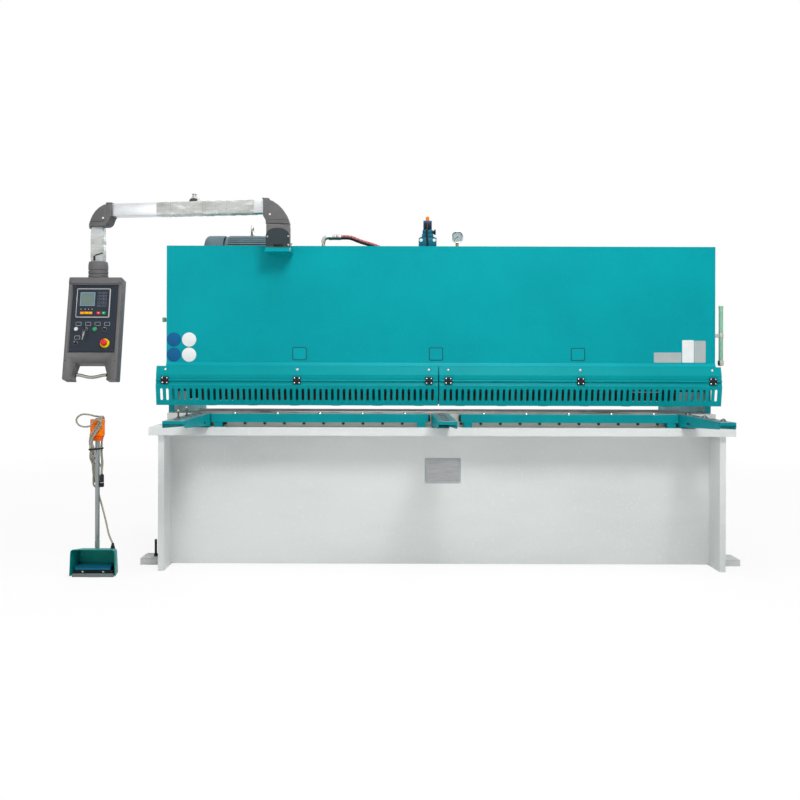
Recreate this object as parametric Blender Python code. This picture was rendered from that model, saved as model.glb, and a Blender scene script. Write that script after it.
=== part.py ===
"""Hydraulic swing beam shear for sheet metal, 2.5 m class, with its foot pedal, at rest.

Metres, +Z up. x runs along the blades, y from the operator to the rear, z up from the floor.
Inside the machine y is counted from the front edge of the bed's top plate and x from the middle
of the bed. One empty then moves all of it so that the box's bottom centre is the world origin.
"""

from math import cos, hypot, pi, radians, sin, tan

import bmesh
import bpy
from mathutils import Vector

# Clearances
SEAT = 0.0003            # between two pieces that touch
PIVOT_GAP = 0.0006       # between a pin or knuckle and what turns on it

# Frame
BED_WIDTH = 2.800        # over the side plates
PLATE_THICK = 0.030      # side plates
PLATE_FRONT = 0.030      # side plates' front edge
HEAD_FRONT = 0.2553      # front edge of the side plates' upper half
FRAME_REAR = 1.120
FRAME_SHOULDER = 1.060   # where the rear edge starts to lean forward
HEAD_REAR = 0.880
HEAD_TOP = 1.585
BED_PLATE_OVERHANG = 0.040   # past each side plate
BED_PLATE_DEPTH = 0.250
BED_PLATE_THICK = 0.040
BED_PLATE_TOP = 0.710
APRON_FRONT = 0.187
APRON_THICK = 0.020
APRON_LIFT = 0.005
FOOT_REACH = 0.122       # sideways past the side plate
FOOT_THICK = 0.032
FOOT_DEPTH = 0.127
FOOT_FRONT = 0.167
REAR_FOOT_FRONT = 0.950
PIVOT_Y = 0.930          # swing beam's pivot
PIVOT_Z = 1.120
PIVOT_RADIUS = 0.045
PIVOT_CAP_RADIUS = 0.085
PIVOT_CAP_THICK = 0.016

# Table and blades
TABLE_TOP = 0.775
TABLE_FRONT = 0.090
TABLE_REAR = 0.330
WEB_THICK = 0.030
WEB_BOTTOM = 0.150
BLADE_MARGIN = 0.110     # from a side plate to the blades' ends
BLADE_THICK = 0.022
BLADE_HEIGHT = 0.080
LOWER_BLADE_TOP = 0.785
BLADE_GAP = 0.0010
BLADE_OPENING = 0.050    # upper blade over the lower one at its low end
BLADE_RAKE = 1.5         # degrees

# Swing beam
BEAM_PLATE = 0.040
BEAM_TOP = 1.380
BEAM_SIDE_GAP = 0.035
BEAM_ARM_THICK = 0.030
BEAM_RIB_THICK = 0.016
BEAM_RIBS = 3
BEAM_SHELF_Z = 1.000
BEAM_SHELF_THICK = 0.025
BEAM_SHELF_REAR = 0.800

# Hold-down
HOLD_FRONT = 0.262
HOLD_THICK = 0.050
HOLD_BOTTOM = 0.880
HOLD_TOP = 1.020
HOLD_END = 0.180         # least room from a side plate to a presser's middle
HOLD_PITCH = 0.215
HOLD_RADIUS = 0.026
HOLD_FOOT_Z = 0.805

# Back gauge
GAUGE_MARGIN = 0.220     # from a side plate to the bar's end
GAUGE_Y = 0.860
GAUGE_THICK = 0.030
GAUGE_BOTTOM = 0.787
GAUGE_HEIGHT = 0.080
GAUGE_ARM_INSET = 0.200  # from the bar's end to an arm's middle
GAUGE_ARM_WIDTH = 0.070
GAUGE_ARM_REAR = 1.330
GAUGE_ARM_HEIGHT = 0.070
GAUGE_SHAFT_RADIUS = 0.016

# Cross members and oil tank
TIE_Y = 0.980
TIE_DEPTH = 0.100
TIE_BOTTOM = 0.300
TIE_HEIGHT = 0.180
TANK_FRONT = 0.470
TANK_REAR = 0.860
TANK_BOTTOM = 1.230
TANK_TOP = 1.440

# Power unit on the tank
MOTOR_Y = 0.620
MOTOR_Z = 1.602
MOTOR_RADIUS = 0.125
MOTOR_INSET = 0.122      # from the left side plate's outer face
COWL_LENGTH = 0.111
COWL_GAP = 0.006
MOTOR_BODY_LENGTH = 0.330
MOTOR_FINS = 28
FIN_DEPTH = 0.014
MOTOR_FOOT_WIDTH = 0.200
EYE_INSET = 0.2555       # from the motor's left end
EYE_RADIUS = 0.026
EYE_WIRE = 0.006
PUMP_LENGTH = 0.150
PUMP_RADIUS = 0.060
POWER_Y = 0.550          # valve, gauge and hose elbow
VALVE_X = -0.0545
VALVE_WIDTH = 0.095
VALVE_BLOCK_TOP = 1.707
VALVE_NECK_WIDTH = 0.062
VALVE_NECK_TOP = 1.753
SOLENOID_WIDTH = 0.046
SOLENOID_TOP = 1.805
VALVE_TIP_TOP = 1.828
VALVE_TIP_RADIUS = 0.012
GAUGE_DIAL_X = 0.108
GAUGE_DIAL_Z = 1.714
GAUGE_DIAL_RADIUS = 0.033
GAUGE_DIAL_DEPTH = 0.030
GAUGE_STEM_RADIUS = 0.009
HOSE_ELBOW_X = -0.6236
HOSE_Z = 1.7125
HOSE_RADIUS = 0.0125
ELBOW_RADIUS = 0.020
FERRULE_LENGTH = 0.078
FERRULE_RADIUS = 0.015

# Front cover
COVER_INSET = 0.0085     # behind the side plates' outer faces
COVER_SHEET = 0.003
COVER_FRONT = 0.165
COVER_TOP = 1.620
COVER_TOP_DEPTH = 0.265
COVER_RIDGE_Z = 1.029
COVER_LIP_FRONT = 0.1535
COVER_LIP_TOP = 1.012
COVER_LIP_BOTTOM = 0.960

# Finger guard
GUARD_PAST_LEFT = 0.0375 # past the side plates
GUARD_PAST_RIGHT = 0.0155
GUARD_SPLIT = -0.0122
GUARD_SPLIT_GAP = 0.006
GUARD_SHEET = 0.003
STRIP_TOP = (0.1500, 1.010)
STRIP_BEND = (0.1370, 0.967)
STRIP_END = (0.1370, 0.9415)
HINGE_Y = 0.1290
HINGE_Z = 0.9380
FLAP_START = (0.1370, 0.9345)
FLAP_BEND = (0.1280, 0.913)
FLAP_END = (0.1460, 0.812)
SLOT_COUNT = 47
SLOT_PITCH = 0.0297
SLOT_WIDTH = 0.013
SLOT_TOP = 0.897
SLOT_BOTTOM = 0.837
SLOT_END_SIDES = 4
LEAF_WIDTH = 0.037
LEAF_HEIGHT = 0.0165
KNUCKLE_RADIUS = 0.004
LEAF_CLEAR = 0.0045       # from the hinge line to a leaf
EAR_REACH = 0.006        # from the hinge line into its own leaf
HINGE_MARGIN = 0.046     # from a guard's end to its outer hinges
HINGES_PER_GUARD = 3

# Sheet supports
RAIL_Y = 0.030
RAIL_DEPTH = 0.045
RAIL_HEIGHT = 0.040
RAIL_SHEET = 0.004
RAIL_TOP = 0.774
RAIL_GAP = 0.004         # from an outer arm to its rail
RAIL_LEFT_END = -0.068
RAIL_RIGHT_START = 0.093
KNOB_RADIUS = 0.0165     # on the rails' ends beside the middle arm
KNOB_LENGTH = 0.018
BALL_PITCH = 0.2106
BALL_MARGIN = 0.080      # least room from a rail's end to a ball
CUP_RADIUS = 0.015
BALL_RADIUS = 0.011
BALL_RISE = 0.005
RAIL_FOOT_WIDTH = 0.040
RAIL_FOOT_INSET = 0.015
ARM_TIP_Y = -0.550
ARM_ROOT_Y = 0.085
ARM_TOP = 0.775
ARM_TIP_HEIGHT = 0.030
ARM_ROOT_HEIGHT = 0.058
ARM_SHEET = 0.004
ARM_LIP = 0.013          # folded down at the tip
ARM_NOSE = 0.008         # lower corner cut off at the tip
ARM_SLOT_LENGTH = 0.055
ARM_SLOT_HEIGHT = 0.011
ARM_SLOT_Y = -0.110
ARM_LEFT_INSET = 0.157   # from the side plate's outer face
ARM_LEFT_WIDTH = 0.100
ARM_MIDDLE_X = (-0.050, 0.035)
ARM_RIGHT_INSET = 0.158
ARM_RIGHT_WIDTH = 0.072

# Side fittings
PIPE_STANDOFF = 0.032    # from the side plate to the pipe's middle
PIPE_Y = 0.200
PIPE_RADIUS = 0.011
PIPE_BOTTOM = 1.020
PIPE_TOP = 1.323
FITTING_RADIUS = 0.013
FITTING_Z = 1.250
FITTING_Y = 0.330
FITTING_LENGTH = 0.050

# Pendant arm
BRACKET_THICK = 0.020
ELBOW_SIZE = 0.128
ARM_PIVOT_X = -0.8145
ARM_PIVOT_Y = 0.100
ELBOW_BOTTOM = 1.5973
SWIVEL_Z = 1.7135
ELBOW_TOP = 1.8515
ARM_SWING = -9.7         # degrees, from straight along the machine
ELBOW_EDGE = 0.006
TUBE_WIDTH = 0.065
TUBE_TOP = 1.840
KNOT_X = -0.4387         # twisted end of the tube's wrapping, along the arm from its pivot
KNOT_PROFILE = ((0.030, -0.010), (0.031, 0.006), (0.016, 0.024), (0.009, 0.034), (0.006, 0.045))
ELBOW_MOUTH = 0.019      # past the base's side, where the tube enters
ELBOW_CURVE = 0.110
GROOVE_LIFT = 0.0245
GROOVE = 0.002
ARCH_WIDTH = 0.117       # dark cover on the arm's base
ARCH_LIFT = 0.0067       # over the base's lower edge
ARCH_SIDE = 0.051
ARCH_RISE = 0.039
ARCH_THICK = 0.003
DROP_RADIUS = 0.967      # from one swivel axis to the other
DROP_ELBOW_REACH = 0.082 # from the drop tube's axis to the arm tube's end
DROP_ELBOW_SIDE = 0.040  # from the drop tube's axis to the elbow's far side
DROP_ELBOW_HEEL = 0.030
DROP_SWIVEL_Z = 1.690
DROP_WIDTH = 0.062
DROP_BOTTOM = 1.545
NECK_RADIUS = 0.050
NECK_MOUTH_RADIUS = 0.046
NECK_SHOULDER = 0.020
NECK_GROOVES = (1.5005, 1.4800)
NECK_BOTTOM = 1.462

# Pendant
PENDANT_WIDTH = 0.274
PENDANT_HEIGHT = 0.534
PENDANT_DEPTH = 0.073
PENDANT_TILT = 12.0      # degrees, lower edge towards the operator
PENDANT_CORNER = 0.010
PANEL_WIDTH = 0.214
PANEL_HEIGHT = 0.325
PANEL_DROP = 0.050
PANEL_DEPTH = 0.005
PANEL_SINK = 0.011       # the housing's recess, which the panel lies in
RECESS_SLOPE = 0.009     # by which the recess opens at its sides
CONTROLLER_WIDTH = 0.172
CONTROLLER_SHIFT = -0.005
CONTROLLER_HEIGHT = 0.142
CONTROLLER_DROP = 0.060
CONTROLLER_DEPTH = 0.008
NOTCH_TOP_WIDTH = 0.122
NOTCH_BOTTOM_WIDTH = 0.163
NOTCH_HEIGHT = 0.055
HANDLE_LIFT = 0.026      # bar's ends over the housing's lower edge
HANDLE_BOW = 0.012
HANDLE_RADIUS = 0.0065
STOP_DISC_RADIUS = 0.0235
STOP_RADIUS = 0.016
STOP_DEPTH = 0.034
STOP_X = 0.066
STOP_DROP = 0.345
SWITCH_DROP = 0.264
SWITCH_XS = (-0.083, -0.036, 0.011, 0.060)
LOW_SWITCH_X = -0.082
SWITCH_RADIUS = 0.0125
SWITCH_DEPTH = 0.007
SWITCH_CAP_RADIUS = 0.009
SWITCH_CAP_DEPTH = 0.013

# Foot pedal
PEDAL_SIDE = 0.277       # from the side plate to the pedal's middle
PEDAL_FRONT = -0.120
PEDAL_BASE_THICK = 0.016
BASE_FRONT_WIDTH = 0.200
BASE_REAR_WIDTH = 0.183
BASE_SETBACK = 0.005     # behind the hood's front edge
HOOD_DEPTH = 0.100
HOOD_BOTTOM_WIDTHS = (0.2215, 0.191)    # at the front and at the rear
HOOD_TOP_WIDTHS = (0.213, 0.181)
HOOD_HEIGHTS = (0.133, 0.121)
HOOD_LIFT = 0.005
HOOD_SHEET = 0.003
SWITCH_BODY_FRONT_WIDTH = 0.190
SWITCH_BODY_REAR_WIDTH = 0.176
SWITCH_BODY_SETBACK = 0.020
SWITCH_BODY_TOP = 0.030
TREAD_WIDTH = 0.170
TREAD_TOP = 0.052
TREAD_THICK = 0.006
TREAD_LIP = 0.018
TREAD_LIP_THICK = 0.005
TREAD_FRONT = -0.112
TREAD_AXIS_Y = -0.040
TREAD_AXIS_Z = 0.045
TREAD_TAIL = 0.004       # behind the axis
TREAD_PIN_RADIUS = 0.006
EAR_THICK = 0.005
EAR_HALF_DEPTH = 0.008
POLE_OFFSET = -0.028     # from the pedal's middle
POLE_Y = 0.050
POLE_RADIUS = 0.011
POLE_TOP = 0.752
POLE_PLATE_WIDTH = 0.090
POLE_PLATE_THICK = 0.0045
POLE_PLATE_REAR = 0.090
POLE_FOOT_RADIUS = 0.021
POLE_FOOT_HEIGHT = 0.008
HOOK_WIDTH = 0.064
HOOK_DEPTH = 0.036
HOOK_TOP = 0.7456
HOOK_BOTTOM = 0.6387
HOOK_TAPER_Z = 0.662
HOOK_FOOT = 0.7          # share of the width that the tapered end keeps
HOOK_HOLE_X = 0.020
HOOK_HOLE_Z = 0.727
HOOK_HOLE_RADIUS = 0.006

# Pedal cable: over the hook box, beside the pole under it, then behind the pole
CABLE_RADIUS = 0.0045
CABLE_EXIT = (0.0748, -0.040)   # from the pedal's middle, and y
HANK_CORNER = 0.006
HANK_BOTTOM = 0.405
HANK_TOP = 0.7605
HANK_FRONT = (           # z, two x from the pole, two y
    (HANK_TOP, -0.004, 0.033, 0.010, 0.0312), (0.735, -0.018, 0.022, 0.006, 0.0312),
    (0.700, -0.029, 0.004, 0.004, 0.0312), (0.636, -0.034, -0.006, 0.006, 0.0312),
    (0.610, -0.031, -0.0118, 0.020, 0.044), (0.585, -0.031, -0.0118, 0.040, 0.066),
    (0.560, -0.034, -0.0118, 0.062, 0.088), (0.545, -0.034, 0.022, 0.062, 0.088),
    (0.470, -0.034, 0.022, 0.062, 0.088), (HANK_BOTTOM, -0.016, 0.012, 0.062, 0.080),
)
HANK_REAR = (
    (HANK_TOP, -0.002, 0.031, 0.0690, 0.088), (0.700, -0.034, 0.024, 0.0690, 0.088),
    (0.640, -0.037, 0.022, 0.0690, 0.088), (0.600, -0.030, 0.019, 0.0690, 0.087),
    (0.555, -0.032, 0.020, 0.0690, 0.086),
)
HANK_BRIDGE = (0.0, 0.029)      # over the hook box, two x from the pole
LOOP_X = -0.0491         # from the pole
LOOP_Y = 0.018
LOOP_Z = 0.7413
LOOP_WIDTH = 0.086
LOOP_HEIGHT = 0.062
LOOP_SPAN = (33, 300)    # degrees, round its left side
CONNECTOR_RADIUS = 0.0105
CONNECTOR_X = 0.0222     # from the pole
CONNECTOR_SPAN = (0.410, 0.474)

ROUND_STEPS = 24
SMALL_STEPS = 12


def clear_scene():
    for obj in list(bpy.data.objects):
        bpy.data.objects.remove(obj, do_unlink=True)


def paint(name, colour, roughness, metallic=0.0):
    made = bpy.data.materials.new(name)
    made.use_nodes = True
    shader = made.node_tree.nodes["Principled BSDF"]
    shader.inputs["Base Color"].default_value = (*colour, 1.0)
    shader.inputs["Roughness"].default_value = roughness
    shader.inputs["Metallic"].default_value = metallic
    return made


def empty(name, location, parent=None):
    made = bpy.data.objects.new(name, None)
    made.location = location
    made.parent = parent
    bpy.context.scene.collection.objects.link(made)
    return made


def add_object(name, shape, material=None):
    """Turns a bmesh into an object whose faces point outwards."""
    bmesh.ops.recalc_face_normals(shape, faces=shape.faces)
    mesh = bpy.data.meshes.new(name)
    shape.to_mesh(mesh)
    shape.free()
    made = bpy.data.objects.new(name, mesh)
    bpy.context.scene.collection.objects.link(made)
    if material:
        mesh.materials.append(material)
    return made


def seat_on(obj, parent):
    """Parents an object that is drawn in its parent's own coordinates."""
    obj.parent = parent


def prism(name, outline, axis, start, end, material=None, far_outline=None):
    """An outline extruded along one axis, to a second one if it changes on the way.

    The outline's pairs run along the other two axes, in order.
    """
    places = {
        "X": lambda a, b, t: (t, a, b),
        "Y": lambda a, b, t: (a, t, b),
        "Z": lambda a, b, t: (a, b, t),
    }[axis]
    shape = bmesh.new()
    first = [shape.verts.new(places(a, b, start)) for a, b in outline]
    last = [shape.verts.new(places(a, b, end)) for a, b in far_outline or outline]
    shape.faces.new(first)
    shape.faces.new(reversed(last))
    for i in range(len(outline)):
        j = (i + 1) % len(outline)
        shape.faces.new((first[i], first[j], last[j], last[i]))
    return add_object(name, shape, material)


def block(name, x, y, z, material=None):
    outline = [(x[0], y[0]), (x[1], y[0]), (x[1], y[1]), (x[0], y[1])]
    return prism(name, outline, "Z", z[0], z[1], material)


def turned(name, profile, axis, centre, material=None, steps=ROUND_STEPS):
    """A solid of revolution. The profile's pairs are radius and distance along the axis."""
    shape = bmesh.new()
    rings = []
    for radius, along in profile:
        ring = []
        for k in range(steps):
            angle = 2 * pi * k / steps
            a = radius * cos(angle)
            b = radius * sin(angle)
            spot = {"X": (along, a, b), "Y": (a, along, b), "Z": (a, b, along)}[axis]
            ring.append(shape.verts.new(Vector(spot) + Vector(centre)))
        rings.append(ring)
    for low, high in zip(rings, rings[1:]):
        for k in range(steps):
            n = (k + 1) % steps
            shape.faces.new((low[k], low[n], high[n], high[k]))
    shape.faces.new(rings[0])
    shape.faces.new(reversed(rings[-1]))
    return add_object(name, shape, material)


def rod(name, radius, axis, centre, start, end, material=None, steps=ROUND_STEPS):
    return turned(name, [(radius, start), (radius, end)], axis, centre, material, steps)


def helper(obj, target):
    obj.hide_render = True
    obj.display_type = "WIRE"
    obj.parent = target


def combine(target, operation, others):
    for other in others:
        helper(other, target)
        step = target.modifiers.new(other.name, "BOOLEAN")
        step.operation = operation
        step.object = other
    return target


def fuse(target, *others):
    return combine(target, "UNION", others)


def cut(target, *others):
    return combine(target, "DIFFERENCE", others)


def round_edges(obj, width):
    bevel = obj.modifiers.new("edges", "BEVEL")
    bevel.width = width
    bevel.segments = 2
    bevel.limit_method = "ANGLE"
    bevel.angle_limit = radians(40)


def folded(line, thickness):
    """The closed outline of a folded sheet: the line is one face, the other lies to its left."""
    normals = []
    for (a0, b0), (a1, b1) in zip(line, line[1:]):
        length = hypot(a1 - a0, b1 - b0)
        normals.append(((b0 - b1) / length, (a1 - a0) / length))
    other = []
    for i, (a, b) in enumerate(line):
        before = normals[max(i - 1, 0)]
        after = normals[min(i, len(normals) - 1)]
        share = 1 + before[0] * after[0] + before[1] * after[1]
        shift_a = (before[0] + after[0]) / share
        shift_b = (before[1] + after[1]) / share
        other.append((a + thickness * shift_a, b + thickness * shift_b))
    return line + other[::-1]


def rounded_box(width, height, corner, sides):
    """A rectangle centred on x and hanging from z = 0, with rounded corners."""
    outline = []
    half = width / 2 - corner
    for centre_x, centre_z, turn in (
        (half, -corner, 0), (-half, -corner, 90), (-half, corner - height, 180), (half, corner - height, 270),
    ):
        for k in range(sides + 1):
            angle = radians(turn + 90 * k / sides)
            outline.append((centre_x + corner * cos(angle), centre_z + corner * sin(angle)))
    return outline


def arc(centre, radius, start, end, sides, height=None):
    """Points on a circle, or on an upright ellipse of that height."""
    points = []
    for k in range(sides + 1):
        angle = radians(start + (end - start) * k / sides)
        points.append((centre[0] + radius * cos(angle), centre[1] + (height or radius) * sin(angle)))
    return points


def lofted(name, rings, material=None):
    """A closed body over rings of as many points each."""
    shape = bmesh.new()
    rows = [[shape.verts.new(spot) for spot in ring] for ring in rings]
    for low, high in zip(rows, rows[1:]):
        for k in range(len(low)):
            n = (k + 1) % len(low)
            shape.faces.new((low[k], low[n], high[n], high[k]))
    shape.faces.new(rows[0])
    shape.faces.new(reversed(rows[-1]))
    return add_object(name, shape, material)


def tube(name, points, radius, material, bevel_resolution=2, cyclic=False):
    """A round bar or cable on a smooth line through the points, which are already close together."""
    line = bpy.data.curves.new(name, "CURVE")
    line.dimensions = "3D"
    line.bevel_depth = radius
    line.bevel_resolution = bevel_resolution
    line.use_fill_caps = True
    spline = line.splines.new("POLY")
    spline.points.add(len(points) - 1)
    for spot, target in zip(points, spline.points):
        target.co = (*spot, 1.0)
    spline.use_cyclic_u = cyclic
    made = bpy.data.objects.new(name, line)
    bpy.context.scene.collection.objects.link(made)
    line.materials.append(material)
    return made


def smooth_line(points, spacing):
    """Points about a spacing apart on a Catmull-Rom curve through the given ones."""
    spots = [Vector(p) for p in points]
    ends = [2 * spots[0] - spots[1]] + spots + [2 * spots[-1] - spots[-2]]
    line = []
    for a, b, c, d in zip(ends, ends[1:], ends[2:], ends[3:]):
        count = max(1, round((c - b).length / spacing))
        for k in range(count):
            t = k / count
            line.append(
                0.5 * (
                    2 * b + (c - a) * t + (2 * a - 5 * b + 4 * c - d) * t**2 + (3 * b - a - 3 * c + d) * t**3
                )
            )
    return line + [spots[-1]]


clear_scene()

TEAL = paint("teal_paint", (0.0, 0.26, 0.30), 0.45)
WHITE = paint("white_paint", (0.70, 0.73, 0.72), 0.5)
STEEL = paint("ground_steel", (0.35, 0.35, 0.36), 0.35, 1.0)
DARK = paint("dark_steel", (0.05, 0.05, 0.055), 0.5, 0.6)
MOTOR_GREY = paint("motor_grey", (0.08, 0.13, 0.14), 0.5)
CAST_GREY = paint("cast_grey", (0.16, 0.15, 0.16), 0.6)
BLACK = paint("black_plastic", (0.02, 0.02, 0.02), 0.5)
PANEL_DARK = paint("panel_dark", (0.03, 0.035, 0.05), 0.4)
PLAIN_METAL = paint("bright_metal", (0.7, 0.7, 0.7), 0.2, 1.0)
RED = paint("red_plastic", (0.6, 0.02, 0.02), 0.4)
ORANGE = paint("orange_plastic", (1.0, 0.2, 0.0), 0.4)
FILM = paint("wrapped_aluminium", (0.6, 0.6, 0.6), 0.3, 0.5)
PIPE_GREEN = paint("pipe_green", (0.25, 0.5, 0.35), 0.4)
HOSE_RED = paint("hose_red", (0.25, 0.02, 0.03), 0.6)
CABLE_GREY = paint("cable_grey", (0.3, 0.28, 0.25), 0.6)
TREAD_BLUE = paint("tread_blue", (0.0, 0.1, 0.3), 0.5)

# Places that follow from the sizes
HALF_BED = BED_WIDTH / 2
INNER = HALF_BED - PLATE_THICK
FIT = INNER - SEAT
BED_UNDER = BED_PLATE_TOP - BED_PLATE_THICK
PEDAL_X = -HALF_BED - PEDAL_SIDE
POLE_X = PEDAL_X + POLE_OFFSET
MOTOR_LEFT = MOTOR_INSET - HALF_BED
EYE_X = MOTOR_LEFT + EYE_INSET
ARM_LEFT_X = (ARM_LEFT_INSET - HALF_BED, ARM_LEFT_INSET + ARM_LEFT_WIDTH - HALF_BED)
ARM_RIGHT_X = (HALF_BED - ARM_RIGHT_INSET - ARM_RIGHT_WIDTH, HALF_BED - ARM_RIGHT_INSET)

# Placing the whole machine over the world origin
LEFT_END = PEDAL_X - HOOD_BOTTOM_WIDTHS[0] / 2
SWING = radians(ARM_SWING)
DROP_X = ARM_PIVOT_X - DROP_RADIUS * cos(SWING)
DROP_Y = ARM_PIVOT_Y - DROP_RADIUS * sin(SWING)
LEFT_END = min(LEFT_END, DROP_X - PENDANT_WIDTH / 2)
RIGHT_END = HALF_BED + FOOT_REACH
FRONT_END = ARM_TIP_Y
REAR_END = GAUGE_ARM_REAR
machine = empty("machine_origin", (-(LEFT_END + RIGHT_END) / 2, -(FRONT_END + REAR_END) / 2, 0.0))


# Side plates with welded feet and pivot caps
def side_plate(name, side):
    outer = side * HALF_BED
    inner = side * INNER
    outline = [
        (PLATE_FRONT, 0.0), (FRAME_REAR, 0.0), (FRAME_REAR, FRAME_SHOULDER), (HEAD_REAR, HEAD_TOP),
        (HEAD_FRONT, HEAD_TOP), (HEAD_FRONT, BED_UNDER - SEAT), (PLATE_FRONT, BED_UNDER - SEAT),
    ]
    plate = prism(name, outline, "X", inner, outer, WHITE)
    middle = side * (HALF_BED - PLATE_THICK / 2)
    reach = side * (HALF_BED + FOOT_REACH)
    feet = []
    for front in (FOOT_FRONT, REAR_FOOT_FRONT):
        feet.append(block(name + "_foot", (middle, reach), (front, front + FOOT_DEPTH), (0.0, FOOT_THICK)))
    cap = rod(
        name + "_cap", PIVOT_CAP_RADIUS, "X", (0, PIVOT_Y, PIVOT_Z), middle, outer + side * PIVOT_CAP_THICK
    )
    fuse(plate, *feet, cap)
    seat_on(plate, machine)


side_plate("side_plate_left", -1)
side_plate("side_plate_right", 1)

# Bed
bed_reach = HALF_BED + BED_PLATE_OVERHANG
bed_plate = block(
    "bed_top_plate", (-bed_reach, bed_reach), (0.0, BED_PLATE_DEPTH),
    (BED_UNDER, BED_PLATE_TOP), WHITE,
)
apron = block(
    "front_apron", (-FIT, FIT), (APRON_FRONT, APRON_FRONT + APRON_THICK), (APRON_LIFT, BED_UNDER - SEAT),
    WHITE
)
web = block(
    "bed_web", (-FIT, FIT), (TABLE_REAR - WEB_THICK, TABLE_REAR), (WEB_BOTTOM, BED_PLATE_TOP), WHITE
)
table = block(
    "work_table", (-FIT, FIT), (TABLE_FRONT, TABLE_REAR), (BED_PLATE_TOP + SEAT, TABLE_TOP), WHITE
)
half_blade = INNER - BLADE_MARGIN
lower_blade = block(
    "lower_blade", (-half_blade, half_blade), (TABLE_REAR + SEAT, TABLE_REAR + SEAT + BLADE_THICK),
    (LOWER_BLADE_TOP - BLADE_HEIGHT, LOWER_BLADE_TOP), DARK,
)
tie = block(
    "rear_cross_member", (-FIT, FIT), (TIE_Y, TIE_Y + TIE_DEPTH), (TIE_BOTTOM, TIE_BOTTOM + TIE_HEIGHT), WHITE
)
for piece in (bed_plate, apron, web, table, lower_blade, tie):
    seat_on(piece, machine)

# Upper blade and swing beam
UPPER_FRONT = TABLE_REAR + SEAT + BLADE_THICK + BLADE_GAP
RISE = tan(radians(BLADE_RAKE))


def raked(x, height):
    """The height of a line that rises with the blade, at x."""
    return LOWER_BLADE_TOP + BLADE_OPENING + (x + half_blade) * RISE + height


upper_blade = prism(
    "upper_blade",
    [
        (-half_blade, raked(-half_blade, 0)), (half_blade, raked(half_blade, 0)),
        (half_blade, raked(half_blade, BLADE_HEIGHT)), (-half_blade, raked(-half_blade, BLADE_HEIGHT)),
    ],
    "Y", UPPER_FRONT, UPPER_FRONT + BLADE_THICK, DARK,
)
seat_on(upper_blade, machine)

beam_half = INNER - BEAM_SIDE_GAP
beam_front = UPPER_FRONT + BLADE_THICK + SEAT
beam_back = beam_front + BEAM_PLATE
BLADE_PROUD = 0.003
beam = prism(
    "swing_beam",
    [
        (-beam_half, raked(-beam_half, BLADE_PROUD)), (beam_half, raked(beam_half, BLADE_PROUD)),
        (beam_half, BEAM_TOP), (-beam_half, BEAM_TOP),
    ],
    "Y", beam_front, beam_back, TEAL,
)
arm_outline = [
    (beam_back - 0.006, 0.930), (PIVOT_Y - 0.05, PIVOT_Z - 0.08), (PIVOT_Y + 0.06, PIVOT_Z),
    (PIVOT_Y - 0.03, PIVOT_Z + 0.07), (beam_back - 0.006, PIVOT_Z + 0.08),
]
beam_parts = []
for side in (-1, 1):
    outer = side * beam_half
    beam_parts.append(prism("beam_arm", arm_outline, "X", outer - side * BEAM_ARM_THICK, outer))
    beam_parts.append(
        rod("beam_pivot", PIVOT_RADIUS, "X", (0, PIVOT_Y, PIVOT_Z), outer - side * 0.01, side * FIT)
    )
rib_outline = [
    (beam_back - 0.006, 0.950), (BEAM_SHELF_REAR - 0.02, BEAM_SHELF_Z + 0.01),
    (beam_back - 0.006, PIVOT_Z + 0.07),
]
for k in range(BEAM_RIBS):
    x = (k + 1) / (BEAM_RIBS + 1) * 2 * beam_half - beam_half
    beam_parts.append(prism("beam_rib", rib_outline, "X", x - BEAM_RIB_THICK / 2, x + BEAM_RIB_THICK / 2))
beam_parts.append(
    block(
        "beam_shelf", (-beam_half + 0.01, beam_half - 0.01), (beam_back - 0.005, BEAM_SHELF_REAR),
        (BEAM_SHELF_Z, BEAM_SHELF_Z + BEAM_SHELF_THICK),
    )
)
fuse(beam, *beam_parts)
seat_on(beam, machine)

# Hold-down beam with its row of pressers
hold_down = block(
    "hold_down_beam", (-FIT, FIT), (HOLD_FRONT, HOLD_FRONT + HOLD_THICK), (HOLD_BOTTOM, HOLD_TOP), TEAL
)
pressers = []
presser_gaps = int(2 * (INNER - HOLD_END) / HOLD_PITCH)
for k in range(presser_gaps + 1):
    x = (k - presser_gaps / 2) * HOLD_PITCH
    pressers.append(
        rod(
            "presser", HOLD_RADIUS, "Z", (x, HOLD_FRONT + HOLD_THICK / 2, 0), HOLD_FOOT_Z, HOLD_BOTTOM + 0.01,
            steps=12,
        )
    )
fuse(hold_down, *pressers)
seat_on(hold_down, machine)

# Back gauge, carried on two arms under the swing beam's shelf
half_gauge = INNER - GAUGE_MARGIN
GAUGE_ARM_X = half_gauge - GAUGE_ARM_INSET
gauge_bar = block(
    "back_gauge_bar", (-half_gauge, half_gauge), (GAUGE_Y, GAUGE_Y + GAUGE_THICK),
    (GAUGE_BOTTOM, GAUGE_BOTTOM + GAUGE_HEIGHT), STEEL,
)
seat_on(gauge_bar, machine)
GAUGE_ARM_BOTTOM = GAUGE_BOTTOM + GAUGE_HEIGHT + SEAT
for name, side in (("back_gauge_arm_left", -1), ("back_gauge_arm_right", 1)):
    x = side * GAUGE_ARM_X
    arm = block(
        name, (x - GAUGE_ARM_WIDTH / 2, x + GAUGE_ARM_WIDTH / 2), (beam_back + SEAT, GAUGE_ARM_REAR),
        (GAUGE_ARM_BOTTOM, GAUGE_ARM_BOTTOM + GAUGE_ARM_HEIGHT), DARK,
    )
    hanger = block(
        name + "_hanger", (x - GAUGE_ARM_WIDTH / 2, x + GAUGE_ARM_WIDTH / 2),
        (beam_back + SEAT, beam_back + 0.08), (GAUGE_ARM_BOTTOM + 0.01, BEAM_SHELF_Z - SEAT),
    )
    fuse(arm, hanger)
    seat_on(arm, machine)
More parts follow.
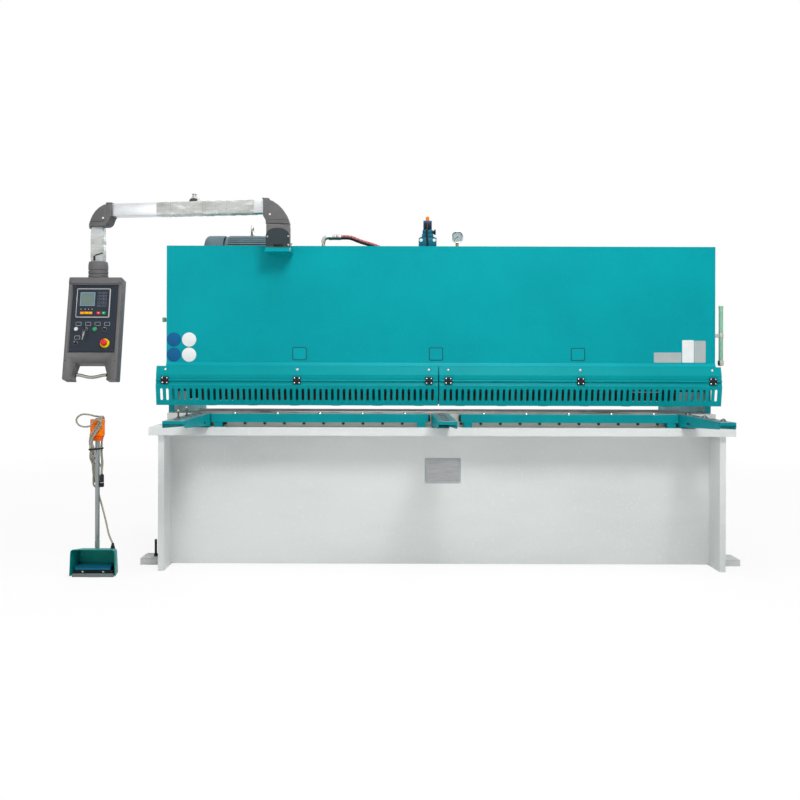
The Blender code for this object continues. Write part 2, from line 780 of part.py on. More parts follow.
shaft = rod(
    "back_gauge_shaft", GAUGE_SHAFT_RADIUS, "X",
    (0, GAUGE_ARM_REAR - 0.05, GAUGE_ARM_BOTTOM + GAUGE_ARM_HEIGHT / 2),
    -GAUGE_ARM_X + GAUGE_ARM_WIDTH / 2 + SEAT, GAUGE_ARM_X - GAUGE_ARM_WIDTH / 2 - SEAT, STEEL, 12,
)
seat_on(shaft, machine)

# Oil tank, motor and pump
tank = block("oil_tank", (-FIT, FIT), (TANK_FRONT, TANK_REAR), (TANK_BOTTOM, TANK_TOP), TEAL)
seat_on(tank, machine)

cowl_end = MOTOR_LEFT + COWL_LENGTH
body_start = cowl_end + COWL_GAP
body_end = body_start + MOTOR_BODY_LENGTH
fin_outline = []
for k in range(MOTOR_FINS):
    for share, radius in (
        (0.0, MOTOR_RADIUS - FIN_DEPTH), (0.5, MOTOR_RADIUS - FIN_DEPTH), (0.55, MOTOR_RADIUS),
        (0.95, MOTOR_RADIUS),
    ):
        angle = 2 * pi * (k + share) / MOTOR_FINS
        fin_outline.append((MOTOR_Y + radius * cos(angle), MOTOR_Z + radius * sin(angle)))
motor = prism("motor", fin_outline, "X", body_start, body_end, MOTOR_GREY)
cowl = turned(
    "cowl",
    [
        (MOTOR_RADIUS * 0.8, MOTOR_LEFT), (MOTOR_RADIUS, MOTOR_LEFT + 0.02), (MOTOR_RADIUS, cowl_end),
        (MOTOR_RADIUS - FIN_DEPTH - 0.004, cowl_end), (MOTOR_RADIUS - FIN_DEPTH - 0.004, body_start + 0.01),
    ],
    "X", (0, MOTOR_Y, MOTOR_Z),
)
motor_foot = block(
    "motor_foot", (body_start + 0.04, body_end - 0.04),
    (MOTOR_Y - MOTOR_FOOT_WIDTH / 2, MOTOR_Y + MOTOR_FOOT_WIDTH / 2),
    (TANK_TOP + SEAT, MOTOR_Z - MOTOR_RADIUS * 0.75),
)
eye_post = rod(
    "eye_post", 0.012, "Z", (EYE_X, MOTOR_Y, 0), MOTOR_Z + MOTOR_RADIUS * 0.8, MOTOR_Z + MOTOR_RADIUS + 0.008
)
eye_z = MOTOR_Z + MOTOR_RADIUS + 0.004 + EYE_RADIUS
eye = turned(
    "eye_ring",
    [
        (EYE_RADIUS - EYE_WIRE, -EYE_WIRE), (EYE_RADIUS + EYE_WIRE, -EYE_WIRE),
        (EYE_RADIUS + EYE_WIRE, EYE_WIRE), (EYE_RADIUS - EYE_WIRE, EYE_WIRE),
    ],
    "X", (EYE_X, MOTOR_Y, eye_z), steps=16,
)
eye_hole = rod("eye_hole", EYE_RADIUS - EYE_WIRE, "X", (EYE_X, MOTOR_Y, eye_z), -0.02, 0.02, steps=16)
fuse(motor, cowl, motor_foot, eye_post, eye)
cut(motor, eye_hole)
seat_on(motor, machine)

pump = turned(
    "pump",
    [
        (MOTOR_RADIUS * 0.7, body_end + SEAT), (MOTOR_RADIUS * 0.7, body_end + 0.03),
        (PUMP_RADIUS, body_end + 0.04), (PUMP_RADIUS, body_end + PUMP_LENGTH),
    ],
    "X", (0, MOTOR_Y, MOTOR_Z), MOTOR_GREY,
)
seat_on(pump, machine)

# Valve stack, pressure gauge and hose
half_valve = VALVE_WIDTH / 2
valve = block(
    "valve_stack", (VALVE_X - half_valve, VALVE_X + half_valve), (POWER_Y - half_valve, POWER_Y + half_valve),
    (TANK_TOP + SEAT, VALVE_BLOCK_TOP), TEAL,
)
half_neck = VALVE_NECK_WIDTH / 2
half_coil = SOLENOID_WIDTH / 2
fuse(
    valve,
    block(
        "valve_neck", (VALVE_X - half_neck, VALVE_X + half_neck), (POWER_Y - half_neck, POWER_Y + half_neck),
        (VALVE_BLOCK_TOP - 0.01, VALVE_NECK_TOP),
    ),
    block(
        "solenoid", (VALVE_X - half_coil, VALVE_X + half_coil), (POWER_Y - half_coil, POWER_Y + half_coil),
        (VALVE_NECK_TOP - 0.01, SOLENOID_TOP),
    ),
    rod(
        "valve_tip", VALVE_TIP_RADIUS, "Z", (VALVE_X, POWER_Y, 0), SOLENOID_TOP - 0.01, VALVE_TIP_TOP,
        steps=12,
    ),
)
seat_on(valve, machine)

dial = rod(
    "pressure_gauge", GAUGE_DIAL_RADIUS, "Y", (GAUGE_DIAL_X, POWER_Y, GAUGE_DIAL_Z),
    -GAUGE_DIAL_DEPTH / 2, GAUGE_DIAL_DEPTH / 2, PLAIN_METAL,
)
fuse(
    dial,
    rod(
        "gauge_stem", GAUGE_STEM_RADIUS, "Z", (GAUGE_DIAL_X, POWER_Y, 0), TANK_TOP + SEAT, GAUGE_DIAL_Z,
        steps=12,
    ),
)
seat_on(dial, machine)

elbow_pipe = rod(
    "hose_elbow", ELBOW_RADIUS, "Z", (HOSE_ELBOW_X, POWER_Y, 0), TANK_TOP + SEAT, HOSE_Z + ELBOW_RADIUS * 0.7,
    DARK, 16
)
ferrule_end = HOSE_ELBOW_X + ELBOW_RADIUS + FERRULE_LENGTH
fuse(
    elbow_pipe,
    rod("ferrule", FERRULE_RADIUS, "X", (0, POWER_Y, HOSE_Z), HOSE_ELBOW_X, ferrule_end, steps=16),
)
seat_on(elbow_pipe, machine)
hose_end = VALVE_X - half_valve - SEAT
hose = tube(
    "pressure_hose",
    smooth_line(
        [
            (ferrule_end + SEAT, POWER_Y, HOSE_Z), (ferrule_end + 0.05, POWER_Y, HOSE_Z - 0.002),
            (-0.42, POWER_Y, 1.690), (-0.34, POWER_Y, 1.665), (-0.26, POWER_Y, 1.630),
            (-0.20, POWER_Y, 1.610),
            (hose_end - 0.03, POWER_Y, 1.600), (hose_end, POWER_Y, 1.600),
        ],
        0.03,
    ),
    HOSE_RADIUS, HOSE_RED,
)
seat_on(hose, machine)

# Front cover: top return, face, ridge and lower lip in one folded sheet, with side returns
cover_half = HALF_BED - COVER_INSET
cover_line = [
    (COVER_FRONT + COVER_TOP_DEPTH, COVER_TOP), (COVER_FRONT, COVER_TOP), (COVER_FRONT, COVER_RIDGE_Z),
    (COVER_LIP_FRONT, COVER_LIP_TOP), (COVER_LIP_FRONT, COVER_LIP_BOTTOM),
]
cover = prism("front_cover", folded(cover_line, COVER_SHEET), "X", -cover_half, cover_half, TEAL)
returns = []
for side in (-1, 1):
    outer = side * cover_half
    returns.append(
        block(
            "cover_return", (outer - side * COVER_SHEET, outer), (COVER_FRONT + 0.001, HEAD_FRONT - SEAT),
            (COVER_RIDGE_Z, COVER_TOP - 0.001),
        )
    )
fuse(cover, *returns)
seat_on(cover, machine)


# Finger guard: fixed strips, and slotted flaps that lift
def hinge_places(start, end):
    inner = HINGE_MARGIN
    return [
        start + inner + (end - start - 2 * inner) * k / (HINGES_PER_GUARD - 1)
        for k in range(HINGES_PER_GUARD)
    ]


def knuckle(name, x, start, end):
    return rod(name, KNUCKLE_RADIUS, "X", (x, HINGE_Y, HINGE_Z), start, end, steps=SMALL_STEPS)


def guard_half(side_name, start, end):
    strip = prism(
        "guard_strip_" + side_name, folded([STRIP_END, STRIP_BEND, STRIP_TOP][::-1], GUARD_SHEET), "X", start,
        end, TEAL,
    )
    flap = prism(
        "guard_flap_" + side_name, folded([FLAP_START, FLAP_BEND, FLAP_END], GUARD_SHEET), "X", start, end,
        TEAL,
    )
    fixed = []
    moving = []
    half = LEAF_WIDTH / 2
    third = LEAF_WIDTH / 3
    rear = STRIP_END[0] + 0.0005
    for x in hinge_places(start, end):
        fixed.append(
            block(
                "fixed_leaf", (x - half, x + half), (HINGE_Y + 0.0005, rear),
                (HINGE_Z + LEAF_CLEAR, HINGE_Z + LEAF_HEIGHT),
            )
        )
        for at in (-half, half - third):
            fixed.append(knuckle("fixed_knuckle", x, at, at + third))
            fixed.append(
                block("fixed_ear", (x + at, x + at + third), (HINGE_Y, rear), (HINGE_Z, HINGE_Z + EAR_REACH))
            )
        moving.append(
            block(
                "moving_leaf", (x - half, x + half), (HINGE_Y + 0.0005, rear),
                (HINGE_Z - LEAF_HEIGHT, HINGE_Z - LEAF_CLEAR),
            )
        )
        inner = third / 2 - PIVOT_GAP
        moving.append(knuckle("moving_knuckle", x, -inner, inner))
        moving.append(
            block("moving_ear", (x - inner, x + inner), (HINGE_Y, rear), (HINGE_Z - EAR_REACH, HINGE_Z))
        )
    fuse(strip, *fixed)
    fuse(flap, *moving)
    row = bmesh.new()
    middle = (start + end) / 2
    lean = (FLAP_END[0] + FLAP_BEND[0]) / 2
    for k in range(SLOT_COUNT):
        x = middle + (k - (SLOT_COUNT - 1) / 2) * SLOT_PITCH
        radius = SLOT_WIDTH / 2
        outline = arc((x, SLOT_TOP - radius), radius, 0, 180, SLOT_END_SIDES)
        outline += arc((x, SLOT_BOTTOM + radius), radius, 180, 360, SLOT_END_SIDES)
        near = [row.verts.new((a, lean - 0.03, b)) for a, b in outline]
        far = [row.verts.new((a, lean + 0.03, b)) for a, b in outline]
        row.faces.new(near)
        row.faces.new(reversed(far))
        for i in range(len(outline)):
            j = (i + 1) % len(outline)
            row.faces.new((near[i], near[j], far[j], far[i]))
    cut(flap, add_object("slots_" + side_name, row))
    seat_on(strip, machine)
    hinge = empty("guard_hinge_" + side_name, (middle, HINGE_Y, HINGE_Z), machine)
    seat_on(flap, hinge)
    flap.location = (-middle, -HINGE_Y, -HINGE_Z)


guard_half("left", -HALF_BED - GUARD_PAST_LEFT, GUARD_SPLIT - GUARD_SPLIT_GAP / 2)
guard_half("right", GUARD_SPLIT + GUARD_SPLIT_GAP / 2, HALF_BED + GUARD_PAST_RIGHT)


# Ball rails on feet, each with a knob on the end that faces the middle arm
def ball_rail(name, span, knob_end):
    start, end = span
    rear = RAIL_Y + RAIL_DEPTH
    bottom = RAIL_TOP - RAIL_HEIGHT
    outline = [
        (RAIL_Y, bottom), (RAIL_Y + RAIL_SHEET, bottom), (RAIL_Y + RAIL_SHEET, RAIL_TOP - RAIL_SHEET),
        (rear - RAIL_SHEET, RAIL_TOP - RAIL_SHEET), (rear - RAIL_SHEET, bottom), (rear, bottom),
        (rear, RAIL_TOP), (RAIL_Y, RAIL_TOP),
    ]
    rail = prism(name, outline, "X", start, end, TEAL)
    feet = []
    for x in (start + RAIL_FOOT_INSET, end - RAIL_FOOT_INSET - RAIL_FOOT_WIDTH):
        feet.append(
            block(
                name + "_foot", (x, x + RAIL_FOOT_WIDTH), (RAIL_Y + 0.001, rear - 0.001),
                (BED_PLATE_TOP + SEAT, RAIL_TOP - 0.001),
            )
        )
    middle = RAIL_Y + RAIL_DEPTH / 2
    knob_start = knob_end - KNOB_LENGTH / 2
    knob = rod(
        name + "_knob", KNOB_RADIUS, "X", (knob_start, middle, RAIL_TOP - RAIL_HEIGHT / 2), 0, KNOB_LENGTH,
        steps=16
    )
    balls = []
    gaps = int((end - start - 2 * BALL_MARGIN) / BALL_PITCH)
    for k in range(gaps + 1):
        x = (start + end) / 2 + (k - gaps / 2) * BALL_PITCH
        profile = [
            (CUP_RADIUS, -RAIL_SHEET / 2), (CUP_RADIUS, BALL_RISE / 3), (BALL_RADIUS, BALL_RISE / 3),
            (BALL_RADIUS * 0.8, BALL_RISE * 0.7), (BALL_RADIUS * 0.35, BALL_RISE),
        ]
        balls.append(turned(name + "_ball", profile, "Z", (x, middle, RAIL_TOP), steps=SMALL_STEPS))
    fuse(rail, *feet, knob, *balls)
    seat_on(rail, machine)


ball_rail("ball_rail_left", (ARM_LEFT_X[1] + RAIL_GAP, RAIL_LEFT_END), RAIL_LEFT_END)
ball_rail("ball_rail_right", (RAIL_RIGHT_START, ARM_RIGHT_X[0] - RAIL_GAP), RAIL_RIGHT_START)


# Front support arms: inverted channels whose flanges taper towards the operator
def support_arm(name, span):
    start, end = span
    root_low = BED_PLATE_TOP + SEAT
    root_front = -0.004
    flange = [
        (ARM_ROOT_Y, ARM_TOP), (ARM_TIP_Y, ARM_TOP), (ARM_TIP_Y, ARM_TOP - ARM_TIP_HEIGHT + ARM_NOSE),
        (ARM_TIP_Y + ARM_NOSE, ARM_TOP - ARM_TIP_HEIGHT), (root_front, ARM_TOP - ARM_ROOT_HEIGHT),
        (root_front + 0.006, root_low), (ARM_ROOT_Y, root_low),
    ]
    arm = block(name, (start, end), (ARM_TIP_Y, ARM_ROOT_Y), (ARM_TOP - ARM_SHEET, ARM_TOP), TEAL)
    fuse(
        arm,
        prism(name + "_left_flange", flange, "X", start, start + ARM_SHEET),
        prism(name + "_right_flange", flange, "X", end - ARM_SHEET, end),
        block(name + "_lip", (start, end), (ARM_TIP_Y, ARM_TIP_Y + ARM_SHEET), (ARM_TOP - ARM_LIP, ARM_TOP)),
        block(
            name + "_root", (start + 0.001, end - 0.001), (root_front + 0.010, ARM_ROOT_Y - 0.001),
            (root_low, root_low + ARM_SHEET * 2),
        ),
    )
    half_straight = (ARM_SLOT_LENGTH - ARM_SLOT_HEIGHT) / 2
    radius = ARM_SLOT_HEIGHT / 2
    slot_z = ARM_TOP - ARM_ROOT_HEIGHT / 2 - radius
    slot = arc((ARM_SLOT_Y + half_straight, slot_z), radius, -90, 90, 4)
    slot += arc((ARM_SLOT_Y - half_straight, slot_z), radius, 90, 270, 4)
    cut(arm, prism(name + "_slots", slot, "X", start - 0.01, end + 0.01))
    seat_on(arm, machine)


support_arm("support_arm_left", ARM_LEFT_X)
support_arm("support_arm_middle", ARM_MIDDLE_X)
support_arm("support_arm_right", ARM_RIGHT_X)

# Pipe outside the right side plate, with a stay to the cover's return
PIPE_X = HALF_BED + PIPE_STANDOFF
pipe = rod("side_pipe", PIPE_RADIUS, "Z", (PIPE_X, PIPE_Y, 0), PIPE_BOTTOM, PIPE_TOP, PIPE_GREEN, 16)
pipe_stay_z = (PIPE_BOTTOM + PIPE_TOP) / 2
fuse(
    pipe,
    rod(
        "pipe_nut", PIPE_RADIUS * 1.6, "Z", (PIPE_X, PIPE_Y, 0), PIPE_BOTTOM - 0.002, PIPE_BOTTOM + 0.024,
        steps=6,
    ),
    block(
        "pipe_stay", (cover_half + SEAT, PIPE_X), (PIPE_Y - 0.008, PIPE_Y + 0.008),
        (pipe_stay_z - 0.01, pipe_stay_z + 0.01),
    ),
)
seat_on(pipe, machine)
fitting = rod(
    "side_fitting", FITTING_RADIUS, "X", (0, FITTING_Y, FITTING_Z),
    -HALF_BED - SEAT, -HALF_BED - FITTING_LENGTH, PIPE_GREEN, SMALL_STEPS,
)
seat_on(fitting, machine)

# Bracket and fixed base of the pendant arm
half_elbow = ELBOW_SIZE / 2
bracket = block(
    "arm_bracket", (ARM_PIVOT_X - half_elbow, ARM_PIVOT_X + half_elbow),
    (ARM_PIVOT_Y - half_elbow, COVER_FRONT - SEAT),
    (ELBOW_BOTTOM - SEAT - BRACKET_THICK, ELBOW_BOTTOM - SEAT), TEAL,
)
seat_on(bracket, machine)
base = block(
    "arm_base", (ARM_PIVOT_X - half_elbow, ARM_PIVOT_X + half_elbow),
    (ARM_PIVOT_Y - half_elbow, ARM_PIVOT_Y + half_elbow),
    (ELBOW_BOTTOM, SWIVEL_Z - SEAT), CAST_GREY,
)
round_edges(base, ELBOW_EDGE)
seat_on(base, machine)
half_arch = ARCH_WIDTH / 2
arch_low = ELBOW_BOTTOM + ARCH_LIFT
arch_outline = [(ARM_PIVOT_X - half_arch, arch_low), (ARM_PIVOT_X + half_arch, arch_low)]
arch_outline += arc((ARM_PIVOT_X, arch_low + ARCH_SIDE), half_arch, 0, 180, 12, ARCH_RISE)
arch_rear = ARM_PIVOT_Y - half_elbow - SEAT
arch = prism("arm_base_cover", arch_outline, "Y", arch_rear - ARCH_THICK, arch_rear, BLACK)
seat_on(arch, machine)

# Swinging arm, drawn along its own x axis, which points away from the operator's left
arm_pivot = empty("arm_pivot", (ARM_PIVOT_X, ARM_PIVOT_Y, SWIVEL_Z), machine)
arm_pivot.rotation_euler = (0.0, 0.0, SWING)
elbow_height = ELBOW_TOP - SWIVEL_Z
elbow_mouth = -half_elbow - ELBOW_MOUTH
tube_rise = TUBE_TOP - SWIVEL_Z
inner_outline = [(-half_elbow, 0.0), (half_elbow, 0.0)]
inner_outline += arc((half_elbow - ELBOW_CURVE, 0.0), ELBOW_CURVE, 0, 90, 10, elbow_height)[1:]
inner_outline += [(elbow_mouth, elbow_height), (elbow_mouth, tube_rise - TUBE_WIDTH - 0.006)]
inner_outline += [(-half_elbow, GROOVE_LIFT)]
arm_elbow = prism("arm_elbow", inner_outline, "Y", -half_elbow, half_elbow, CAST_GREY)
groove_z = (GROOVE_LIFT - GROOVE, GROOVE_LIFT + GROOVE)
for side in (-1, 1):
    outer = side * half_elbow
    cut(arm_elbow, block("elbow_groove", (-0.1, 0.1), (outer - side * GROOVE, outer + side * 0.01), groove_z))
round_edges(arm_elbow, ELBOW_EDGE)
arm_tube = block(
    "arm_tube", (DROP_ELBOW_REACH - DROP_RADIUS, elbow_mouth - SEAT), (-TUBE_WIDTH / 2, TUBE_WIDTH / 2),
    (tube_rise - TUBE_WIDTH, tube_rise), FILM,
)
fuse(arm_tube, turned("film_knot", KNOT_PROFILE, "Z", (KNOT_X, 0.0, tube_rise), steps=8))
outer_right = DROP_ELBOW_REACH - DROP_RADIUS - SEAT
outer_left = -DROP_RADIUS - DROP_ELBOW_SIDE
outer_low = DROP_SWIVEL_Z - SWIVEL_Z
outer_top = elbow_height - 0.01
outer_outline = [(outer_right, outer_top)]
outer_outline += arc((outer_left + ELBOW_CURVE, outer_low), ELBOW_CURVE, 90, 180, 10, outer_top - outer_low)
heel = (outer_right - DROP_ELBOW_HEEL, outer_low + DROP_ELBOW_HEEL)
outer_outline += arc(heel, DROP_ELBOW_HEEL, 270, 360, 5)
drop_elbow = prism("drop_elbow", outer_outline, "Y", -half_elbow, half_elbow, CAST_GREY)
round_edges(drop_elbow, ELBOW_EDGE)
for piece in (arm_elbow, arm_tube, drop_elbow):
    seat_on(piece, arm_pivot)

# Drop tube and pendant, facing the operator
drop_pivot = empty("drop_pivot", (-DROP_RADIUS, 0.0, DROP_SWIVEL_Z - SWIVEL_Z), arm_pivot)
drop_pivot.rotation_euler = (0.0, 0.0, -SWING)
drop_tube = block(
    "drop_tube", (-DROP_WIDTH / 2, DROP_WIDTH / 2), (-DROP_WIDTH / 2, DROP_WIDTH / 2),
    (DROP_BOTTOM - DROP_SWIVEL_Z, -SEAT), FILM,
)
neck_top = DROP_BOTTOM - SEAT
neck_profile = [
    (NECK_MOUTH_RADIUS, neck_top - DROP_SWIVEL_Z), (NECK_RADIUS, neck_top - NECK_SHOULDER - DROP_SWIVEL_Z)
]
for z in NECK_GROOVES:
    for radius, rise in (
        (NECK_RADIUS, GROOVE), (NECK_RADIUS - GROOVE, GROOVE / 2),
        (NECK_RADIUS - GROOVE, -GROOVE / 2), (NECK_RADIUS, -GROOVE),
    ):
        neck_profile.append((radius, z + rise - DROP_SWIVEL_Z))
neck_profile.append((NECK_RADIUS, NECK_BOTTOM - DROP_SWIVEL_Z))
neck = turned("pendant_neck", neck_profile[::-1], "Z", (0, 0, 0), CAST_GREY)
for piece in (drop_tube, neck):
    seat_on(piece, drop_pivot)

tilt = radians(PENDANT_TILT)
half_depth = PENDANT_DEPTH / 2
pendant_drop = NECK_BOTTOM - SEAT - half_depth * sin(tilt) - DROP_SWIVEL_Z
pendant = empty("pendant_tilt", (0.0, -0.005, pendant_drop), drop_pivot)
pendant.rotation_euler = (-tilt, 0.0, 0.0)
housing = prism(
    "pendant_housing", rounded_box(PENDANT_WIDTH, PENDANT_HEIGHT, PENDANT_CORNER, 4), "Y", -half_depth,
    half_depth, CAST_GREY
)
notch_outline = [
    (-NOTCH_BOTTOM_WIDTH / 2, -PENDANT_HEIGHT), (-NOTCH_TOP_WIDTH / 2, NOTCH_HEIGHT - PENDANT_HEIGHT),
    (NOTCH_TOP_WIDTH / 2, NOTCH_HEIGHT - PENDANT_HEIGHT), (NOTCH_BOTTOM_WIDTH / 2, -PENDANT_HEIGHT),
    (NOTCH_BOTTOM_WIDTH / 2, -PENDANT_HEIGHT - 0.01), (-NOTCH_BOTTOM_WIDTH / 2, -PENDANT_HEIGHT - 0.01),
]
recess_floor = -half_depth + PANEL_SINK
half_panel = PANEL_WIDTH / 2 + SEAT
panel_low = -PANEL_DROP - PANEL_HEIGHT


def recess_outline(grow):
    return [
        (-half_panel - grow, panel_low - SEAT - grow), (half_panel + grow, panel_low - SEAT - grow),
        (half_panel + grow, -PANEL_DROP + SEAT), (-half_panel - grow, -PANEL_DROP + SEAT),
    ]


cut(
    housing,
    prism("handle_notch", notch_outline, "Y", -half_depth - 0.01, half_depth + 0.01),
    prism(
        "panel_recess", recess_outline(RECESS_SLOPE * 2), "Y", -half_depth - PANEL_SINK, recess_floor,
        far_outline=recess_outline(0.0),
    ),
)
panel_front = recess_floor - SEAT - PANEL_DEPTH
panel = block(
    "pendant_panel", (-PANEL_WIDTH / 2, PANEL_WIDTH / 2), (panel_front, recess_floor - SEAT),
    (panel_low, -PANEL_DROP), PANEL_DARK,
)
switches = []
for x, drop in [(x, SWITCH_DROP) for x in SWITCH_XS] + [(LOW_SWITCH_X, STOP_DROP)]:
    profile = [
        (SWITCH_RADIUS, panel_front + PANEL_DEPTH / 2), (SWITCH_RADIUS, panel_front - SWITCH_DEPTH),
        (SWITCH_CAP_RADIUS, panel_front - SWITCH_DEPTH), (SWITCH_CAP_RADIUS, panel_front - SWITCH_CAP_DEPTH),
    ]
    switches.append(turned("switch", profile, "Y", (x, 0, -drop), steps=16))
fuse(panel, *switches)
controller_left = CONTROLLER_SHIFT - CONTROLLER_WIDTH / 2
controller = block(
    "controller", (controller_left, controller_left + CONTROLLER_WIDTH),
    (panel_front - SEAT - CONTROLLER_DEPTH, panel_front - SEAT),
    (-CONTROLLER_DROP - CONTROLLER_HEIGHT, -CONTROLLER_DROP), BLACK,
)
stop_seat = panel_front - SEAT
stop_button = turned(
    "emergency_stop",
    [
        (STOP_DISC_RADIUS, stop_seat), (STOP_DISC_RADIUS, stop_seat - 0.004),
        (STOP_RADIUS * 0.65, stop_seat - 0.004), (STOP_RADIUS * 0.65, stop_seat - 0.015),
        (STOP_RADIUS, stop_seat - 0.019),
        (STOP_RADIUS, stop_seat - STOP_DEPTH + 0.005), (STOP_RADIUS * 0.75, stop_seat - STOP_DEPTH),
    ],
    "Y", (STOP_X, 0, -STOP_DROP), RED,
)
notch_lean = (NOTCH_BOTTOM_WIDTH - NOTCH_TOP_WIDTH) / 2 / NOTCH_HEIGHT
handle_half = NOTCH_BOTTOM_WIDTH / 2 - (HANDLE_LIFT + HANDLE_RADIUS) * notch_lean - SEAT
handle_z = HANDLE_LIFT - PENDANT_HEIGHT
handle_line = [-handle_half, -handle_half * 0.9]
handle_line += [handle_half * 0.9 * k / 4 for k in range(-3, 4)] + [handle_half * 0.9, handle_half]
handle_points = []
for x in handle_line:
    share = min(1.0, abs(x) / (handle_half * 0.9))
    handle_points.append((x, 0.0, handle_z - HANDLE_BOW * (1 - share**2) ** 2))
handle = tube("pendant_handle", handle_points, HANDLE_RADIUS, PLAIN_METAL)
for piece in (housing, panel, controller, stop_button, handle):
    seat_on(piece, pendant)


# Foot pedal beside the machine
HOOD_REAR = PEDAL_FRONT + HOOD_DEPTH
HOOD_INSIDE = HOOD_REAR - HOOD_SHEET - SEAT


def hood_outline(share, grow, low):
    """The hood's outline at a share of its depth."""
    bottom = HOOD_BOTTOM_WIDTHS[0] + (HOOD_BOTTOM_WIDTHS[1] - HOOD_BOTTOM_WIDTHS[0]) * share
    top = HOOD_TOP_WIDTHS[0] + (HOOD_TOP_WIDTHS[1] - HOOD_TOP_WIDTHS[0]) * share
    height = HOOD_HEIGHTS[0] + (HOOD_HEIGHTS[1] - HOOD_HEIGHTS[0]) * share + grow
    return [
        (PEDAL_X - bottom / 2 - grow, low), (PEDAL_X + bottom / 2 + grow, low),
        (PEDAL_X + top / 2 + grow, height), (PEDAL_X - top / 2 - grow, height),
    ]


def tapered_plate(name, widths, span, z, material):
    """A level plate about the pedal's middle that changes its width from front to rear."""
    plan = [
        (PEDAL_X - widths[0] / 2, span[0]), (PEDAL_X + widths[0] / 2, span[0]),
        (PEDAL_X + widths[1] / 2, span[1]), (PEDAL_X - widths[1] / 2, span[1]),
    ]
    return prism(name, plan, "Z", z[0], z[1], material)


hood = prism(
    "pedal_hood", hood_outline(0.0, 0.0, HOOD_LIFT), "Y", PEDAL_FRONT, HOOD_REAR, TEAL,
    hood_outline(1.0, 0.0, HOOD_LIFT),
)
inner_share = 1 - HOOD_SHEET / HOOD_DEPTH
hollow_low = -0.02
hollow = prism(
    "hood_hollow", hood_outline(-0.2, -HOOD_SHEET, hollow_low), "Y", PEDAL_FRONT - 0.2 * HOOD_DEPTH,
    HOOD_REAR - HOOD_SHEET, far_outline=hood_outline(inner_share, -HOOD_SHEET, hollow_low),
)
cut(hood, hollow)
seat_on(hood, machine)
pedal_base = tapered_plate(
    "pedal_base", (BASE_FRONT_WIDTH, BASE_REAR_WIDTH), (PEDAL_FRONT + BASE_SETBACK, HOOD_INSIDE),
    (0.0, PEDAL_BASE_THICK), CAST_GREY,
)
fuse(
    pedal_base,
    block(
        "pole_plate", (POLE_X - POLE_PLATE_WIDTH / 2, POLE_X + POLE_PLATE_WIDTH / 2),
        (HOOD_INSIDE - 0.03, POLE_PLATE_REAR), (0.0, POLE_PLATE_THICK),
    ),
)
seat_on(pedal_base, machine)
switch_box = tapered_plate(
    "pedal_switch_box", (SWITCH_BODY_FRONT_WIDTH, SWITCH_BODY_REAR_WIDTH),
    (PEDAL_FRONT + SWITCH_BODY_SETBACK, HOOD_INSIDE), (PEDAL_BASE_THICK + SEAT, SWITCH_BODY_TOP), BLACK,
)
ears = []
for side in (-1, 1):
    inner = PEDAL_X + side * (TREAD_WIDTH / 2 + PIVOT_GAP)
    outer = inner + side * EAR_THICK
    ears.append(
        block(
            "switch_ear", (inner, outer), (TREAD_AXIS_Y - EAR_HALF_DEPTH, TREAD_AXIS_Y + EAR_HALF_DEPTH),
            (PEDAL_BASE_THICK + 0.001, TREAD_AXIS_Z + EAR_HALF_DEPTH),
        )
    )
fuse(switch_box, *ears)
seat_on(switch_box, machine)
tread_pivot = empty("tread_pivot", (PEDAL_X, TREAD_AXIS_Y, TREAD_AXIS_Z), machine)
tread_half = TREAD_WIDTH / 2
front = TREAD_FRONT - TREAD_AXIS_Y
top = TREAD_TOP - TREAD_AXIS_Z
tread = block(
    "pedal_tread", (-tread_half, tread_half), (front, TREAD_TAIL), (top - TREAD_THICK, top), TREAD_BLUE
)
fuse(
    tread,
    block("tread_lip", (-tread_half, tread_half), (front, front + TREAD_LIP_THICK), (top - TREAD_LIP, top)),
    rod("tread_barrel", TREAD_PIN_RADIUS, "X", (0, 0, 0), -tread_half, tread_half, steps=12),
)
seat_on(tread, tread_pivot)
pole_low = POLE_PLATE_THICK + SEAT
pole = rod("pedal_pole", POLE_RADIUS, "Z", (POLE_X, POLE_Y, 0), pole_low, POLE_TOP, STEEL, 16)
fuse(
    pole,
    rod(
        "pole_foot", POLE_FOOT_RADIUS, "Z", (POLE_X, POLE_Y, 0), pole_low, pole_low + POLE_FOOT_HEIGHT,
        steps=16,
    ),
)
seat_on(pole, machine)
half_hook = HOOK_WIDTH / 2
hook_outline = [
    (POLE_X - half_hook * HOOK_FOOT, HOOK_BOTTOM), (POLE_X + half_hook * HOOK_FOOT, HOOK_BOTTOM),
    (POLE_X + half_hook, HOOK_TAPER_Z), (POLE_X + half_hook, HOOK_TOP),
    (POLE_X - half_hook, HOOK_TOP), (POLE_X - half_hook, HOOK_TAPER_Z),
]
hook_box = prism("hook_box", hook_outline, "Y", POLE_Y - HOOK_DEPTH / 2, POLE_Y + HOOK_DEPTH / 2, ORANGE)
hook_hole_x = POLE_X + HOOK_HOLE_X
cut(
    hook_box,
    rod(
        "hook_bore", POLE_RADIUS + SEAT, "Z", (POLE_X, POLE_Y, 0), HOOK_BOTTOM - 0.02, HOOK_TOP + 0.02,
        steps=16,
    ),
    rod(
        "hook_hole", HOOK_HOLE_RADIUS, "Y", (hook_hole_x, POLE_Y, HOOK_HOLE_Z), -HOOK_DEPTH, HOOK_DEPTH,
        steps=SMALL_STEPS,
    ),
)
seat_on(hook_box, machine)


# Cable: up from the hood behind the pole, hank over the hook box, free loop and connector
def hank_ring(z, left, right, near, far):
    """One cross-section of the hank, with cut corners; the two x are counted from the pole."""
    west = POLE_X + left
    east = POLE_X + right
    corner = HANK_CORNER
    return [
        (west + corner, near, z), (east - corner, near, z), (east, near + corner, z), (east, far - corner, z),
        (east - corner, far, z), (west + corner, far, z), (west, far - corner, z), (west, near + corner, z),
    ]


